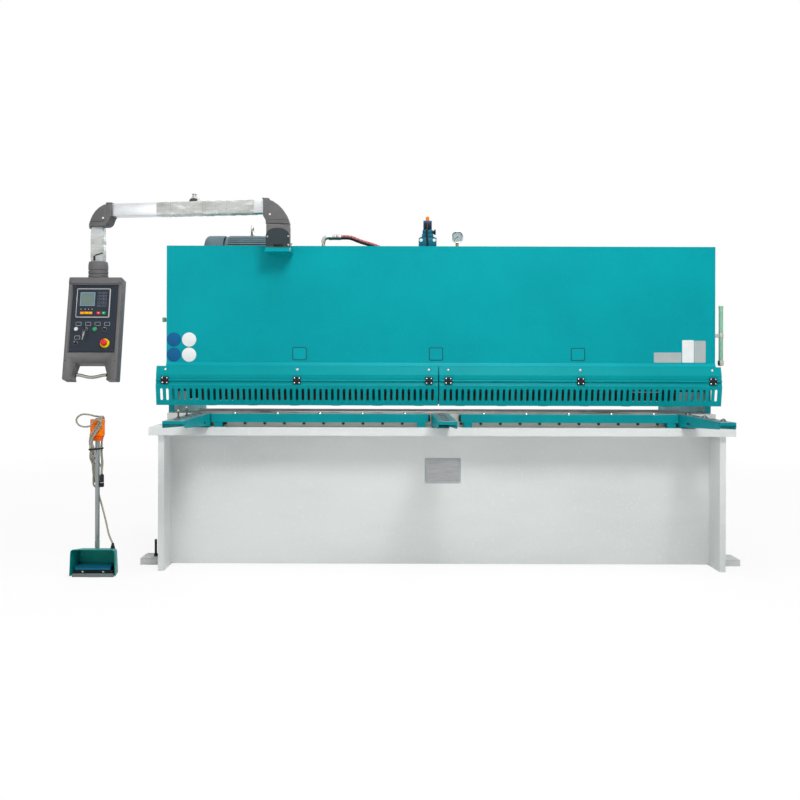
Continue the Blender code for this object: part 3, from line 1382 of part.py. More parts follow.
hank = lofted("pedal_cable_hank", [hank_ring(*row) for row in HANK_FRONT], CABLE_GREY)
fuse(
    hank,
    lofted("hank_rear", [hank_ring(*row) for row in HANK_REAR]),
    block(
        "hank_bridge", (POLE_X + HANK_BRIDGE[0], POLE_X + HANK_BRIDGE[1]), (0.020, 0.080),
        (POLE_TOP + SEAT, HANK_TOP - 0.0002),
    ),
)
seat_on(hank, machine)
loop_points = []
for a, b in arc((POLE_X + LOOP_X, LOOP_Z), LOOP_WIDTH / 2, LOOP_SPAN[0], LOOP_SPAN[1], 20, LOOP_HEIGHT / 2):
    loop_points.append((a, LOOP_Y, b))
loop = tube("pedal_cable_loop", loop_points, CABLE_RADIUS, CABLE_GREY, 1)
seat_on(loop, machine)
cable_x = PEDAL_X + CABLE_EXIT[0]
exit_y = CABLE_EXIT[1]
hood_share = (exit_y + CABLE_RADIUS - PEDAL_FRONT) / HOOD_DEPTH
exit_z = HOOD_HEIGHTS[0] + (HOOD_HEIGHTS[1] - HOOD_HEIGHTS[0]) * hood_share + CABLE_RADIUS * 0.3
behind = 0.071
cable = tube(
    "pedal_cable",
    smooth_line(
        [
            (cable_x, exit_y, exit_z), (cable_x - 0.001, exit_y, exit_z + 0.022),
            (POLE_X + 0.072, 0.0, 0.185), (POLE_X + 0.046, 0.040, 0.240), (POLE_X + 0.020, behind, 0.310),
            (POLE_X, behind, HANK_BOTTOM - 0.030), (POLE_X, behind, HANK_BOTTOM - 2 * SEAT),
        ],
        0.022,
    ),
    CABLE_RADIUS, CABLE_GREY,
)
seat_on(cable, machine)
connector = rod(
    "cable_connector", CONNECTOR_RADIUS, "Z", (POLE_X + CONNECTOR_X, POLE_Y, 0),
    CONNECTOR_SPAN[0], CONNECTOR_SPAN[1], BLACK, 16,
)
seat_on(connector, machine)
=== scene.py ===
"""Looks of the hydraulic swing beam shear: finishes, cable, hose, fittings and fine parts.

Metres. Machine coordinates: x from the middle of the bed, y from the front edge of the bed's top
plate towards the rear, z up from the floor. The arm and the pendant have frames of their own.
"""

import random
from math import cos, hypot, pi, radians, sin

import bmesh
import bpy
from mathutils import Matrix, Vector, noise


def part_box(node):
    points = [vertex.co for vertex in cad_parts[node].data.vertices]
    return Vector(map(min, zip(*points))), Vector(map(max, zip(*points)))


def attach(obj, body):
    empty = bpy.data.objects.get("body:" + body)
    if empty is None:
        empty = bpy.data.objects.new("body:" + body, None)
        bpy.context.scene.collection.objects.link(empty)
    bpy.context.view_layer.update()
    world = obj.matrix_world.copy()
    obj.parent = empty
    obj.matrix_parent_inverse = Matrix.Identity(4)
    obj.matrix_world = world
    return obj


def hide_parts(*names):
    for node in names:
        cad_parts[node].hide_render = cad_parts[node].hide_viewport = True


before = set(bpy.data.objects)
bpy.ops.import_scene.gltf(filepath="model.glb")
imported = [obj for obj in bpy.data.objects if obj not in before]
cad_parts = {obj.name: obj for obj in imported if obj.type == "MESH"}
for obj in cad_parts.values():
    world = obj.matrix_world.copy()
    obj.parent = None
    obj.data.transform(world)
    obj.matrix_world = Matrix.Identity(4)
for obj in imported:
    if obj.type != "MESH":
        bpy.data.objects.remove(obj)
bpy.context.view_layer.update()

# The machine's own frame, read from the bed's top plate
BED_LOW, BED_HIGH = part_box("bed_top_plate")
MACHINE = Matrix.Translation(((BED_LOW.x + BED_HIGH.x) / 2, BED_LOW.y, 0.0))
TO_MACHINE = MACHINE.inverted()


def box(node):
    """A CAD node's lowest and highest corner in machine coordinates."""
    low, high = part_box(node)
    return TO_MACHINE @ low, TO_MACHINE @ high


def middle(node):
    """The middle of a CAD node's box in machine coordinates."""
    low, high = box(node)
    return (low + high) / 2


# Sizes that the CAD source holds
SEAT = 0.0003
FOOT_REACH = 0.122
HALF_BED = box("side_plate_right")[1].x - FOOT_REACH
BED_TOP = box("bed_top_plate")[1].z
ARM_SWING = -9.7
PENDANT_TILT = 12.0
PENDANT_DEPTH = 0.073


def camera():
    """A level camera in front, as the photograph's: no lean, but a slight roll and an off-centre frame."""
    focal = 960.0
    frame_width = 800.0
    principal_x = 389.95
    principal_y = 359.86
    roll = 0.0027
    data = bpy.data.cameras.new("camera")
    data.lens = data.sensor_width * focal / frame_width
    data.shift_x = (frame_width / 2 - principal_x) / frame_width
    data.shift_y = (principal_y - frame_width / 2) / frame_width
    made = bpy.data.objects.new("camera", data)
    place = MACHINE @ Matrix.Translation((-0.258, -4.704, 1.043))
    made.matrix_world = place @ Matrix.Rotation(-roll, 4, "Y") @ Matrix.Rotation(pi / 2, 4, "X")
    bpy.context.scene.collection.objects.link(made)
    bpy.context.scene.camera = made


camera()


# Colours and procedural finishes
def ink(red, green, blue):
    """A screen colour, 0 to 255, as the linear values that shaders take."""
    made = []
    for value in (red, green, blue):
        share = value / 255
        made.append(share / 12.92 if share <= 0.04045 else ((share + 0.055) / 1.055) ** 2.4)
    return (*made, 1.0)


class Finish:
    """A Principled material whose colour, roughness and bump come from noise in object coordinates."""

    def __init__(self, name, colour, roughness, metallic=0.0, gloss=0.5):
        self.material = bpy.data.materials.new(name)
        self.material.use_nodes = True
        self.tree = self.material.node_tree
        self.shader = self.tree.nodes["Principled BSDF"]
        self.shader.inputs["Base Color"].default_value = colour
        self.shader.inputs["Roughness"].default_value = roughness
        self.shader.inputs["Metallic"].default_value = metallic
        self.shader.inputs["Specular IOR Level"].default_value = gloss
        self.place = self.tree.nodes.new("ShaderNodeTexCoord").outputs["Object"]
        self.colour = None
        self.normal = None

    def node(self, kind, **values):
        made = self.tree.nodes.new(kind)
        for key, value in values.items():
            setattr(made, key, value)
        return made

    def link(self, source, target):
        self.tree.links.new(source, target)

    def stretched(self, scale):
        """The object's coordinates, scaled differently along each axis."""
        made = self.node("ShaderNodeMapping")
        made.inputs["Scale"].default_value = scale
        self.link(self.place, made.inputs["Vector"])
        return made.outputs["Vector"]

    def noise(self, scale, detail=3.0, stretch=None, roughness=0.55):
        made = self.node("ShaderNodeTexNoise")
        made.inputs["Scale"].default_value = scale
        made.inputs["Detail"].default_value = detail
        made.inputs["Roughness"].default_value = roughness
        self.link(self.stretched(stretch) if stretch else self.place, made.inputs["Vector"])
        return made.outputs["Fac"]

    def between(self, value, low, high, first=0.0, last=1.0):
        """Maps a value's range low to high onto first to last, clamped."""
        made = self.node("ShaderNodeMapRange")
        made.clamp = True
        for key, number in (("From Min", low), ("From Max", high), ("To Min", first), ("To Max", last)):
            made.inputs[key].default_value = number
        self.link(value, made.inputs["Value"])
        return made.outputs["Result"]

    def mix(self, share, colour):
        """Lays a colour over what is there, by a share between 0 and 1."""
        made = self.node("ShaderNodeMix", data_type="RGBA")
        made.inputs["A"].default_value = self.shader.inputs["Base Color"].default_value
        if self.colour:
            self.link(self.colour, made.inputs["A"])
        made.inputs["B"].default_value = colour
        self.link(share, made.inputs["Factor"])
        self.colour = made.outputs["Result"]
        self.link(self.colour, self.shader.inputs["Base Color"])
        return self

    def mottle(self, colour, scale, low=0.4, high=0.6, amount=1.0, stretch=None, detail=4.0):
        return self.mix(self.between(self.noise(scale, detail, stretch), low, high, 0.0, amount), colour)

    def rough(self, scale, low, high, stretch=None):
        share = self.between(self.noise(scale, 4.0, stretch), 0.3, 0.7, low, high)
        self.link(share, self.shader.inputs["Roughness"])
        return self

    def bump(self, height, depth, strength=1.0):
        made = self.node("ShaderNodeBump")
        made.inputs["Strength"].default_value = strength
        made.inputs["Distance"].default_value = depth
        self.link(height, made.inputs["Height"])
        if self.normal:
            self.link(self.normal, made.inputs["Normal"])
        self.normal = made.outputs["Normal"]
        self.link(self.normal, self.shader.inputs["Normal"])
        return self

    def soft_edges(self, radius):
        """Rounds the shading of sharp edges, as paint and deburring do."""
        made = self.node("ShaderNodeBevel", samples=4)
        made.inputs["Radius"].default_value = radius
        self.normal = made.outputs["Normal"]
        self.link(self.normal, self.shader.inputs["Normal"])
        return self

    def height(self):
        """How high a point is above the piece's own origin."""
        made = self.node("ShaderNodeSeparateXYZ")
        self.link(self.place, made.inputs["Vector"])
        return made.outputs["Z"]

    def facing(self, axis):
        """How far the surface faces along one of the object's own axes."""
        source = self.node("ShaderNodeTexCoord").outputs["Normal"]
        made = self.node("ShaderNodeSeparateXYZ")
        self.link(source, made.inputs["Vector"])
        return made.outputs[axis]

    def coat(self, weight, roughness):
        self.shader.inputs["Coat Weight"].default_value = weight
        self.shader.inputs["Coat Roughness"].default_value = roughness
        return self


TEAL_INK = ink(0, 154, 163)
TEAL_DEEP = ink(0, 141, 151)
TEAL_LIGHT = ink(14, 168, 176)
WHITE_INK = ink(217, 220, 219)
WHITE_DUST = ink(199, 203, 203)


def teal(name, base=TEAL_INK, dark=TEAL_DEEP, light=TEAL_LIGHT):
    """Structured teal paint: fine pimples, slight clouding and a few light specks."""
    made = Finish(name, base, 0.42, gloss=0.08).soft_edges(0.0015)
    made.mottle(dark, 3.0, 0.35, 0.65, 0.55)
    made.mottle(light, 220.0, 0.56, 0.72, 0.55)
    made.mottle(dark, 150.0, 0.58, 0.74, 0.5)
    made.rough(90.0, 0.34, 0.52)
    made.bump(made.noise(260.0, 2.0), 0.0006, 0.35)
    return made


def white(name):
    made = Finish(name, WHITE_INK, 0.38, gloss=0.2).soft_edges(0.002)
    made.mottle(WHITE_DUST, 1.6, 0.42, 0.68, 0.5, (0.5, 1.0, 1.6))
    made.mottle(ink(226, 229, 228), 60.0, 0.55, 0.75, 0.5)
    made.rough(14.0, 0.32, 0.5)
    made.bump(made.noise(180.0, 2.0), 0.0005, 0.25)
    return made


def metal(name, colour, dark, roughness, stretch=(1.0, 60.0, 60.0)):
    """Metal with marks drawn out along one axis."""
    made = Finish(name, colour, roughness, 1.0).soft_edges(0.0008)
    made.mottle(dark, 14.0, 0.4, 0.68, 0.7, stretch)
    made.rough(20.0, roughness * 0.8, roughness * 1.35, stretch)
    made.bump(made.noise(30.0, 3.0, stretch), 0.0003, 0.2)
    return made


def plastic(name, colour, worn, roughness, grain=500.0):
    made = Finish(name, colour, roughness, gloss=0.16).soft_edges(0.0008)
    made.mottle(worn, 18.0, 0.45, 0.72, 0.45)
    made.rough(60.0, roughness * 0.85, roughness * 1.2)
    made.bump(made.noise(grain, 2.0), 0.0003, 0.25)
    return made


def two_tone(name):
    """Side plates: white up to the bed's top, teal above it."""
    made = white(name)
    edge = made.between(made.height(), BED_TOP - 0.001, BED_TOP + 0.001)
    made.mix(edge, TEAL_INK)
    cloud = made.node("ShaderNodeMath", operation="MULTIPLY")
    made.link(edge, cloud.inputs[0])
    made.link(made.between(made.noise(120.0, 3.0), 0.5, 0.72, 0.0, 0.5), cloud.inputs[1])
    made.mix(cloud.outputs["Value"], TEAL_LIGHT)
    return made


def film(name):
    """Stretch film in overlapping turns: milky, glossy, with darker folds."""
    made = Finish(name, ink(184, 187, 183), 0.3, gloss=0.3)
    made.mottle(ink(140, 141, 134), 9.0, 0.5, 0.76, 0.8, (0.6, 1.0, 2.4))
    made.mottle(ink(220, 224, 223), 26.0, 0.54, 0.68, 0.7, (0.5, 1.0, 2.0))
    made.rough(30.0, 0.16, 0.42)
    made.bump(made.noise(22.0, 5.0, (0.5, 1.4, 2.2)), 0.006, 0.5)
    return made.coat(0.12, 0.12)


def hose_finish(name):
    """Black hose with a red spiral in its cover, shown only on the upper side: the underside is painted
    shade.
    """
    made = Finish(name, ink(38, 30, 34), 0.5)
    wave = made.node("ShaderNodeTexWave", wave_type="BANDS", bands_direction="X", wave_profile="TRI")
    wave.inputs["Scale"].default_value = 16.0
    wave.inputs["Distortion"].default_value = 1.5
    wave.inputs["Detail"].default_value = 2.0
    made.link(made.place, wave.inputs["Vector"])
    # Mask by how far the surface faces up: the red spiral fades out below it as painted shade.
    upper = made.between(made.facing("Z"), -0.1, 0.55)
    band = made.node("ShaderNodeMath", operation="MULTIPLY")
    made.link(made.between(wave.outputs["Fac"], 0.25, 0.5, 0.35, 1.0), band.inputs[0])
    made.link(upper, band.inputs[1])
    made.mix(band.outputs["Value"], ink(178, 62, 66))
    made.bump(wave.outputs["Fac"], 0.0015, 0.6)
    return made


TEAL = teal("teal_paint")
GUARD_TEAL = teal("guard_teal", ink(0, 149, 155), ink(0, 137, 144), ink(10, 162, 166))
ARM_TEAL = teal("support_teal", ink(4, 142, 148), ink(2, 120, 130), ink(40, 160, 164))
# The beams inside the machine take a darker copy of the teal: painted shade.
BEAM_TEAL_SHADED = teal("inner_teal_painted_shade", ink(0, 108, 116), ink(0, 92, 100), ink(10, 122, 128))
WHITE = white("white_paint")
SIDES = two_tone("side_plate_paint")
EVEN = (20.0, 20.0, 20.0)
STEEL = metal("ground_steel", ink(176, 178, 178), ink(120, 122, 124), 0.34)
TABLE_STEEL = metal("table_steel", ink(196, 198, 192), ink(150, 152, 148), 0.4)
BLADE = metal("blade_steel", ink(150, 152, 156), ink(96, 98, 102), 0.28)
BRIGHT = metal("chrome", ink(226, 228, 230), ink(190, 192, 196), 0.12)
ZINC = metal("zinc_plate", ink(196, 196, 186), ink(150, 148, 136), 0.3, EVEN)
BARE_ALUMINIUM = metal("bare_aluminium", ink(214, 216, 218), ink(184, 188, 190), 0.3)
DARK_STEEL = metal("dark_steel", ink(92, 94, 98), ink(58, 60, 62), 0.42, EVEN)
MOTOR_GREY = plastic("motor_grey", ink(84, 104, 110), ink(66, 84, 90), 0.4, 300.0)
CAST_GREY = plastic("arm_grey", ink(104, 103, 104), ink(90, 89, 91), 0.52, 380.0)
CAST_DARK = plastic("arm_grey_dark", ink(66, 66, 70), ink(52, 52, 56), 0.55, 380.0)
COVER_DARK = plastic("cover_dark", ink(50, 60, 64), ink(42, 50, 54), 0.5)
PANEL_DARK = plastic("panel_dark", ink(47, 54, 64), ink(40, 46, 56), 0.42)
PANEL_FILM = plastic("panel_film", ink(36, 44, 55), ink(31, 38, 48), 0.34)
BLACK = plastic("black_plastic", ink(26, 28, 32), ink(40, 42, 46), 0.42)
RUBBER = plastic("black_rubber", ink(30, 30, 32), ink(46, 46, 46), 0.7)
PALE_PLASTIC = plastic("pale_plastic", ink(214, 216, 220), ink(190, 192, 198), 0.35)
FRAME_GREY = plastic("frame_grey", ink(188, 190, 192), ink(164, 166, 170), 0.35)
SCREEN = plastic("screen", ink(104, 124, 118), ink(88, 108, 106), 0.3)
SCREEN_RIM = plastic("screen_rim", ink(140, 164, 190), ink(118, 142, 170), 0.3)
ORANGE_KEY = plastic("orange_key", ink(246, 164, 12), ink(226, 140, 6), 0.4)
RED = plastic("red_plastic", ink(214, 44, 50), ink(188, 30, 38), 0.36)
GREEN = plastic("green_plastic", ink(12, 164, 92), ink(8, 140, 78), 0.34)
YELLOW = plastic("yellow_plastic", ink(240, 206, 0), ink(222, 186, 0), 0.4)
ORANGE = plastic("orange_plastic", ink(255, 124, 2), ink(240, 104, 0), 0.42)
PIPE_GREEN = plastic("pipe_green", ink(142, 192, 164), ink(118, 170, 144), 0.34)
PEDAL_GREEN = plastic("pedal_green", ink(0, 126, 122), ink(0, 112, 106), 0.4)
# A lighter teal for the hood's inside: painted light.
PEDAL_INSIDE_LIT = plastic("pedal_inside_painted_light", ink(0, 148, 136), ink(0, 130, 122), 0.45)
PEDAL_GREY = plastic("pedal_grey", ink(112, 122, 122), ink(92, 100, 100), 0.5)
TREAD_BLUE = plastic("tread_blue", ink(0, 86, 114), ink(0, 68, 94), 0.46)
VALVE_BLUE = plastic("valve_blue", ink(4, 98, 118), ink(2, 80, 100), 0.4)
COIL_BLUE = plastic("coil_blue", ink(14, 84, 122), ink(8, 68, 102), 0.4)
CABLE_GREY = plastic("cable_grey", ink(158, 154, 140), ink(124, 118, 104), 0.5)
LABEL_WHITE = plastic("label_white", ink(228, 232, 232), ink(214, 220, 220), 0.4)
LABEL_GREY = plastic("label_grey", ink(172, 180, 180), ink(156, 166, 168), 0.4)
LABEL_BLUE = plastic("label_blue", ink(8, 92, 142), ink(4, 82, 128), 0.4)
LABEL_RIM = plastic("label_rim", ink(28, 70, 74), ink(22, 58, 62), 0.4)
FILM = film("film_wrap")
BRASS = metal("brass", ink(178, 142, 78), ink(132, 100, 48), 0.3, EVEN)
HANDLE_CHROME = metal("handle_chrome", ink(160, 158, 154), ink(104, 96, 84), 0.26, (1.0, 60.0, 60.0))
SWITCH_RIM = metal("switch_rim", ink(112, 116, 122), ink(70, 72, 78), 0.34, EVEN)
FERRULE = metal("ferrule_steel", ink(150, 146, 140), ink(96, 92, 88), 0.34, EVEN)
# Dark brown for the strip over the upper blade: painted shade where the machine's inside is dark.
LIP_PAINTED_SHADE = plastic("lip_painted_shade", ink(104, 80, 74), ink(72, 58, 56), 0.6)
POLE_STEEL = metal("pole_steel", ink(150, 158, 158), ink(118, 126, 126), 0.36, (40.0, 40.0, 1.0))
DROP_ALUMINIUM = plastic("drop_aluminium", ink(198, 202, 204), ink(176, 182, 184), 0.34)
POLE_END = plastic("pole_end", ink(128, 152, 138), ink(108, 132, 118), 0.4)
FILM_SHADE = plastic("film_shade", ink(74, 72, 66), ink(54, 52, 48), 0.6)
KEY_RIM = plastic("key_rim", ink(128, 136, 150), ink(108, 116, 130), 0.4)
TREAD_EDGE = plastic("tread_edge", ink(0, 98, 126), ink(0, 84, 108), 0.4)
# A darker orange for the holder's fold: painted shade.
ORANGE_SHADED = plastic("orange_painted_shade", ink(232, 92, 0), ink(206, 76, 0), 0.46)
HOSE = hose_finish("hose_rubber")


# Mesh building
class Shape:
    """One piece, put together from closed solids, each with its own finish."""

    def __init__(self, name, body="machine", place=MACHINE):
        self.name = name
        self.body = body
        self.place = place
        self.whole = bmesh.new()
        self.finishes = []

    def add(self, solid, finish, edge=0.0, segments=2, at=None):
        """Takes a solid in, with its sharp edges rounded, moved by a matrix if one is given."""
        bmesh.ops.recalc_face_normals(solid, faces=solid.faces)
        if edge:
            sharp = [e for e in solid.edges if len(e.link_faces) == 2 and e.calc_face_angle() > radians(28)]
            bmesh.ops.bevel(
                solid, geom=sharp, offset=edge, segments=segments, profile=0.5, affect="EDGES",
                clamp_overlap=True,
            )
        if at:
            bmesh.ops.transform(solid, matrix=at, verts=solid.verts)
        if finish not in self.finishes:
            self.finishes.append(finish)
        index = self.finishes.index(finish)
        for face in solid.faces:
            face.material_index = index
            face.smooth = True
        part = bpy.data.meshes.new("part")
        solid.to_mesh(part)
        solid.free()
        self.whole.from_mesh(part)
        bpy.data.meshes.remove(part)
        return self

    def box(self, finish, x, y, z, edge=0.001, segments=2, at=None):
        return self.prism(finish, [(x[0], y[0]), (x[1], y[0]), (x[1], y[1]), (x[0], y[1])], "Z", z[0], z[1],
                          edge, segments, at)

    def prism(self, finish, outline, axis, start, end, edge=0.0, segments=2, at=None, far=None):
        """An outline along one axis; its pairs run along the other two, in order."""
        return self.add(prism(outline, axis, start, end, far), finish, edge, segments, at)

    def turned(self, finish, profile, axis, centre, steps=32, edge=0.0, at=None):
        """A solid of revolution. The profile's pairs are radius and distance along the axis."""
        solid = bmesh.new()
        rings = []
        for radius, along in profile:
            ring = []
            for k in range(steps):
                a = radius * cos(2 * pi * k / steps)
                b = radius * sin(2 * pi * k / steps)
                spot = {"X": (along, a, b), "Y": (a, along, b), "Z": (a, b, along)}[axis]
                ring.append(solid.verts.new(Vector(spot) + Vector(centre)))
            rings.append(ring)
        return self.add(skin(solid, rings), finish, edge, 2, at)

    def rod(self, finish, radius, axis, centre, start, end, steps=24, edge=0.0006, at=None):
        return self.turned(finish, [(radius, start), (radius, end)], axis, centre, steps, edge, at)

    def tube(self, finish, points, radius, sides=12, at=None):
        """A round bar along close points, with closed ends."""
        solid = bmesh.new()
        rings = [ring_at(solid, points, i, radius, sides) for i in range(len(points))]
        return self.add(skin(solid, rings), finish, at=at)

    def dome(self, finish, radius, rise, axis, centre, sign=-1, steps=16, at=None):
        """A low round head, such as a screw's, standing from centre along the axis."""
        profile = [(radius, 0.0), (radius * 0.96, sign * rise * 0.45), (radius * 0.75, sign * rise * 0.85),
                   (radius * 0.3, sign * rise)]
        return self.turned(finish, profile, axis, centre, steps, at=at)

    def done(self, replaces=(), angle=32):
        """Makes the object, gives it its finishes as material slots, puts it on its body and hides the CAD
        nodes it stands for.
        """
        mesh = bpy.data.meshes.new(self.name)
        self.whole.to_mesh(mesh)
        self.whole.free()
        mesh.set_sharp_from_angle(angle=radians(angle))
        for finish in self.finishes:
            mesh.materials.append(finish.material)
        made = bpy.data.objects.new(self.name, mesh)
        bpy.context.scene.collection.objects.link(made)
        made.matrix_world = self.place
        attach(made, self.body)
        if replaces:
            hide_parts(*replaces)
        return made


def skin(solid, rings):
    """Joins rings of as many corners each, and closes the first and the last."""
    for low, high in zip(rings, rings[1:]):
        for k in range(len(low)):
            n = (k + 1) % len(low)
            solid.faces.new((low[k], low[n], high[n], high[k]))
    solid.faces.new(rings[0])
    solid.faces.new(reversed(rings[-1]))
    return solid


def around(centre, reach):
    """The limits of what reaches as far to both sides of its centre."""
    return centre - reach, centre + reach


def turned_to(place, degrees, axis):
    """A place with a turn about an axis through it."""
    return Matrix.Translation(place) @ Matrix.Rotation(radians(degrees), 4, axis)


def prism(outline, axis, start, end, far=None):
    """A solid between an outline and the same one, or another, further along an axis."""
    places = {
        "X": lambda a, b, t: (t, a, b),
        "Y": lambda a, b, t: (a, t, b),
        "Z": lambda a, b, t: (a, b, t),
    }[axis]
    solid = bmesh.new()
    first = [solid.verts.new(places(a, b, start)) for a, b in outline]
    last = [solid.verts.new(places(a, b, end)) for a, b in far or outline]
    solid.faces.new(first)
    solid.faces.new(reversed(last))
    for i in range(len(outline)):
        j = (i + 1) % len(outline)
        solid.faces.new((first[i], first[j], last[j], last[i]))
    return solid


def ring_at(solid, points, index, radius, sides):
    """One ring of a tube, square to its line."""
    before = Vector(points[max(index - 1, 0)])
    after = Vector(points[min(index + 1, len(points) - 1)])
    turn = (after - before).to_track_quat("Z", "Y").to_matrix()
    ring = []
    for k in range(sides):
        angle = 2 * pi * k / sides
        corner = turn @ Vector((radius * cos(angle), radius * sin(angle), 0))
        ring.append(solid.verts.new(Vector(points[index]) + corner))
    return ring


def arc(centre, radius, start, end, sides, height=None):
    """Points on an arc from one angle to another, in degrees, or on an ellipse if a height is given."""
    points = []
    for k in range(sides + 1):
        angle = radians(start + (end - start) * k / sides)
        points.append((centre[0] + radius * cos(angle), centre[1] + (height or radius) * sin(angle)))
    return points


def rounded(x, z, corner, sides=5):
    """A rectangle with rounded corners, from pairs of limits."""
    outline = []
    for cx, cz, turn in (
        (x[1] - corner, z[1] - corner, 0), (x[0] + corner, z[1] - corner, 90),
        (x[0] + corner, z[0] + corner, 180), (x[1] - corner, z[0] + corner, 270),
    ):
        outline += arc((cx, cz), corner, turn, turn + 90, sides)
    return outline


def smooth_line(points, spacing):
    """Points about a spacing apart on a Catmull-Rom curve through the given ones."""
    spots = [Vector(p) for p in points]
    ends = [2 * spots[0] - spots[1]] + spots + [2 * spots[-1] - spots[-2]]
    line = []
    for a, b, c, d in zip(ends, ends[1:], ends[2:], ends[3:]):
        count = max(1, round((c - b).length / spacing))
        for k in range(count):
            t = k / count
            bent = 2 * b + (c - a) * t + (2 * a - 5 * b + 4 * c - d) * t**2 + (3 * b - a - 3 * c + d) * t**3
            line.append(0.5 * bent)
    return line + [spots[-1]]


def carve(made, cutters):
    """Cuts closed bmesh solids, in the piece's own coordinates, out of a finished piece."""
    for solid in cutters:
        bmesh.ops.recalc_face_normals(solid, faces=solid.faces)
        mesh = bpy.data.meshes.new("cutter")
        solid.to_mesh(mesh)
        solid.free()
        tool = bpy.data.objects.new("cutter", mesh)
        bpy.context.scene.collection.objects.link(tool)
        tool.matrix_world = made.matrix_world
        step = made.modifiers.new("cut", "BOOLEAN")
        step.operation = "DIFFERENCE"
        step.solver = "EXACT"
        step.object = tool
        bpy.context.view_layer.update()
        seen = made.evaluated_get(bpy.context.evaluated_depsgraph_get())
        cut_mesh = bpy.data.meshes.new_from_object(seen)
        made.modifiers.remove(step)
        made.data = cut_mesh
        bpy.data.objects.remove(tool)
    return made


def repaint(finish, *nodes):
    """Gives CAD nodes whose shape stays a finish of their own."""
    for name in nodes:
        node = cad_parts[name]
        node.data.materials.clear()
        node.data.materials.append(finish.material)


# Cords come first
HOSE_TOP = 1.7125        # the hose's and its elbow's upper height
CABLE_RADIUS = 0.0045
TIE_Z = 0.5987


def cord_curve(name, points, radius, finish):
    """A cord's curve object, in machine coordinates."""
    line = bpy.data.curves.new(name, "CURVE")
    line.dimensions = "3D"
    line.bevel_depth = radius
    line.bevel_resolution = 4
    line.use_fill_caps = True
    spline = line.splines.new("POLY")
    spline.points.add(len(points) - 1)
    for spot, target in zip(points, spline.points):
        target.co = (*spot, 1.0)
    spline.use_smooth = True
    line.materials.append(finish.material)
    made = bpy.data.objects.new(name, line)
    bpy.context.scene.collection.objects.link(made)
    made.matrix_world = MACHINE
    return made


def cable_route(start, pole, connector):
    """Up behind the pole, three turns over the holder, a free loop to the left, down to the connector."""

    def spot(x, y, z):
        return Vector((pole.x + x, pole.y + y, z))

    def over(x):
        """Half a turn over the holder's top."""
        return [spot(x, y, z) for y, z in arc((0, 0.7275), 0.0315, 0, 180, 6)]

    def under(y, low):
        """Half a turn at the lower end of a loop, from its left to its right."""
        return [spot(x, y, z) for x, z in arc((-0.008, low), 0.020, 180, 360, 6)]

    def right_side(y, last):
        return [spot(0.0120, y, 0.480), spot(0.0150, y, 0.525), spot(0.0110, y, 0.570),
                spot(0.0110, y, 0.610), spot(last, y, 0.655)]

    route = [start, start + Vector((-0.001, 0.0, 0.022)), spot(0.072, -0.050, 0.185),
             spot(0.046, -0.010, 0.240), spot(0.018, 0.020, 0.310), spot(0.002, 0.0165, 0.370),
             spot(-0.010, 0.0160, 0.420), spot(-0.0165, 0.0165, 0.480), spot(-0.0230, 0.0160, 0.545),
             spot(-0.0205, 0.006, TIE_Z), spot(-0.0340, 0.010, 0.632), spot(-0.0400, 0.016, 0.664),
             spot(-0.0330, 0.030, 0.688), spot(-0.0130, 0.0400, 0.701), spot(0.0090, 0.0410, 0.710),
             spot(0.0215, 0.0370, 0.7270)]
    route += over(0.024)[1:]
    route += [spot(0.004, -0.0315, 0.692), spot(-0.0125, -0.0315, 0.662), spot(-0.0170, -0.0310, 0.630),
              spot(-0.0165, -0.0280, TIE_Z), spot(-0.0245, -0.008, 0.575), spot(-0.0325, 0.0135, 0.550),
              spot(-0.0320, 0.0255, 0.525), spot(-0.0265, 0.0255, 0.495), spot(-0.0280, 0.0255, 0.460)]
    route += under(0.0255, 0.424) + right_side(0.0255, 0.0165)
    route += over(0.013)
    route += [spot(-0.007, -0.0315, 0.692), spot(-0.0250, -0.0315, 0.662), spot(-0.0290, -0.0310, 0.630),
              spot(-0.0255, -0.0265, TIE_Z), spot(-0.0335, -0.006, 0.575), spot(-0.0415, 0.0205, 0.548),
              spot(-0.0350, 0.0340, 0.518), spot(-0.0330, 0.0350, 0.486)]
    route += under(0.0350, 0.444) + right_side(0.0350, 0.0100)
    route.append(spot(0.005, 0.0325, 0.7000))
    route += over(0.004)[1:4]
    route += [spot(0.000, -0.014, 0.7605), spot(-0.010, -0.029, 0.7640), spot(-0.0270, -0.0390, 0.7695)]
    for a in range(90, 281, 19):
        route.append(spot(-0.0491 + 0.043 * cos(radians(a)), -0.0405, 0.7413 + 0.031 * sin(radians(a))))
    route += [spot(-0.0220, -0.0410, 0.7150), spot(-0.0134, -0.0412, 0.7300)]
    for a in (125, 90, 55, 20, -15):
        route.append(spot(0.0095 + 0.0205 * cos(radians(a)), -0.0412, 0.7265 + 0.0205 * sin(radians(a))))
    route += [spot(0.0195, -0.0405, 0.7010), spot(-0.0010, -0.0405, 0.6740), spot(-0.0180, -0.0400, 0.6480),
              spot(-0.0240, -0.0390, 0.6200), spot(-0.0225, -0.0370, TIE_Z), spot(-0.0225, -0.0180, 0.574),
              spot(-0.0140, 0.0120, 0.548), spot(0.0020, 0.0190, 0.526), spot(0.0150, 0.0140, 0.508),
              spot(0.0215, 0.0040, 0.492)]
    route.append(Vector((connector.x, connector.y, 0.4825)))
    return route


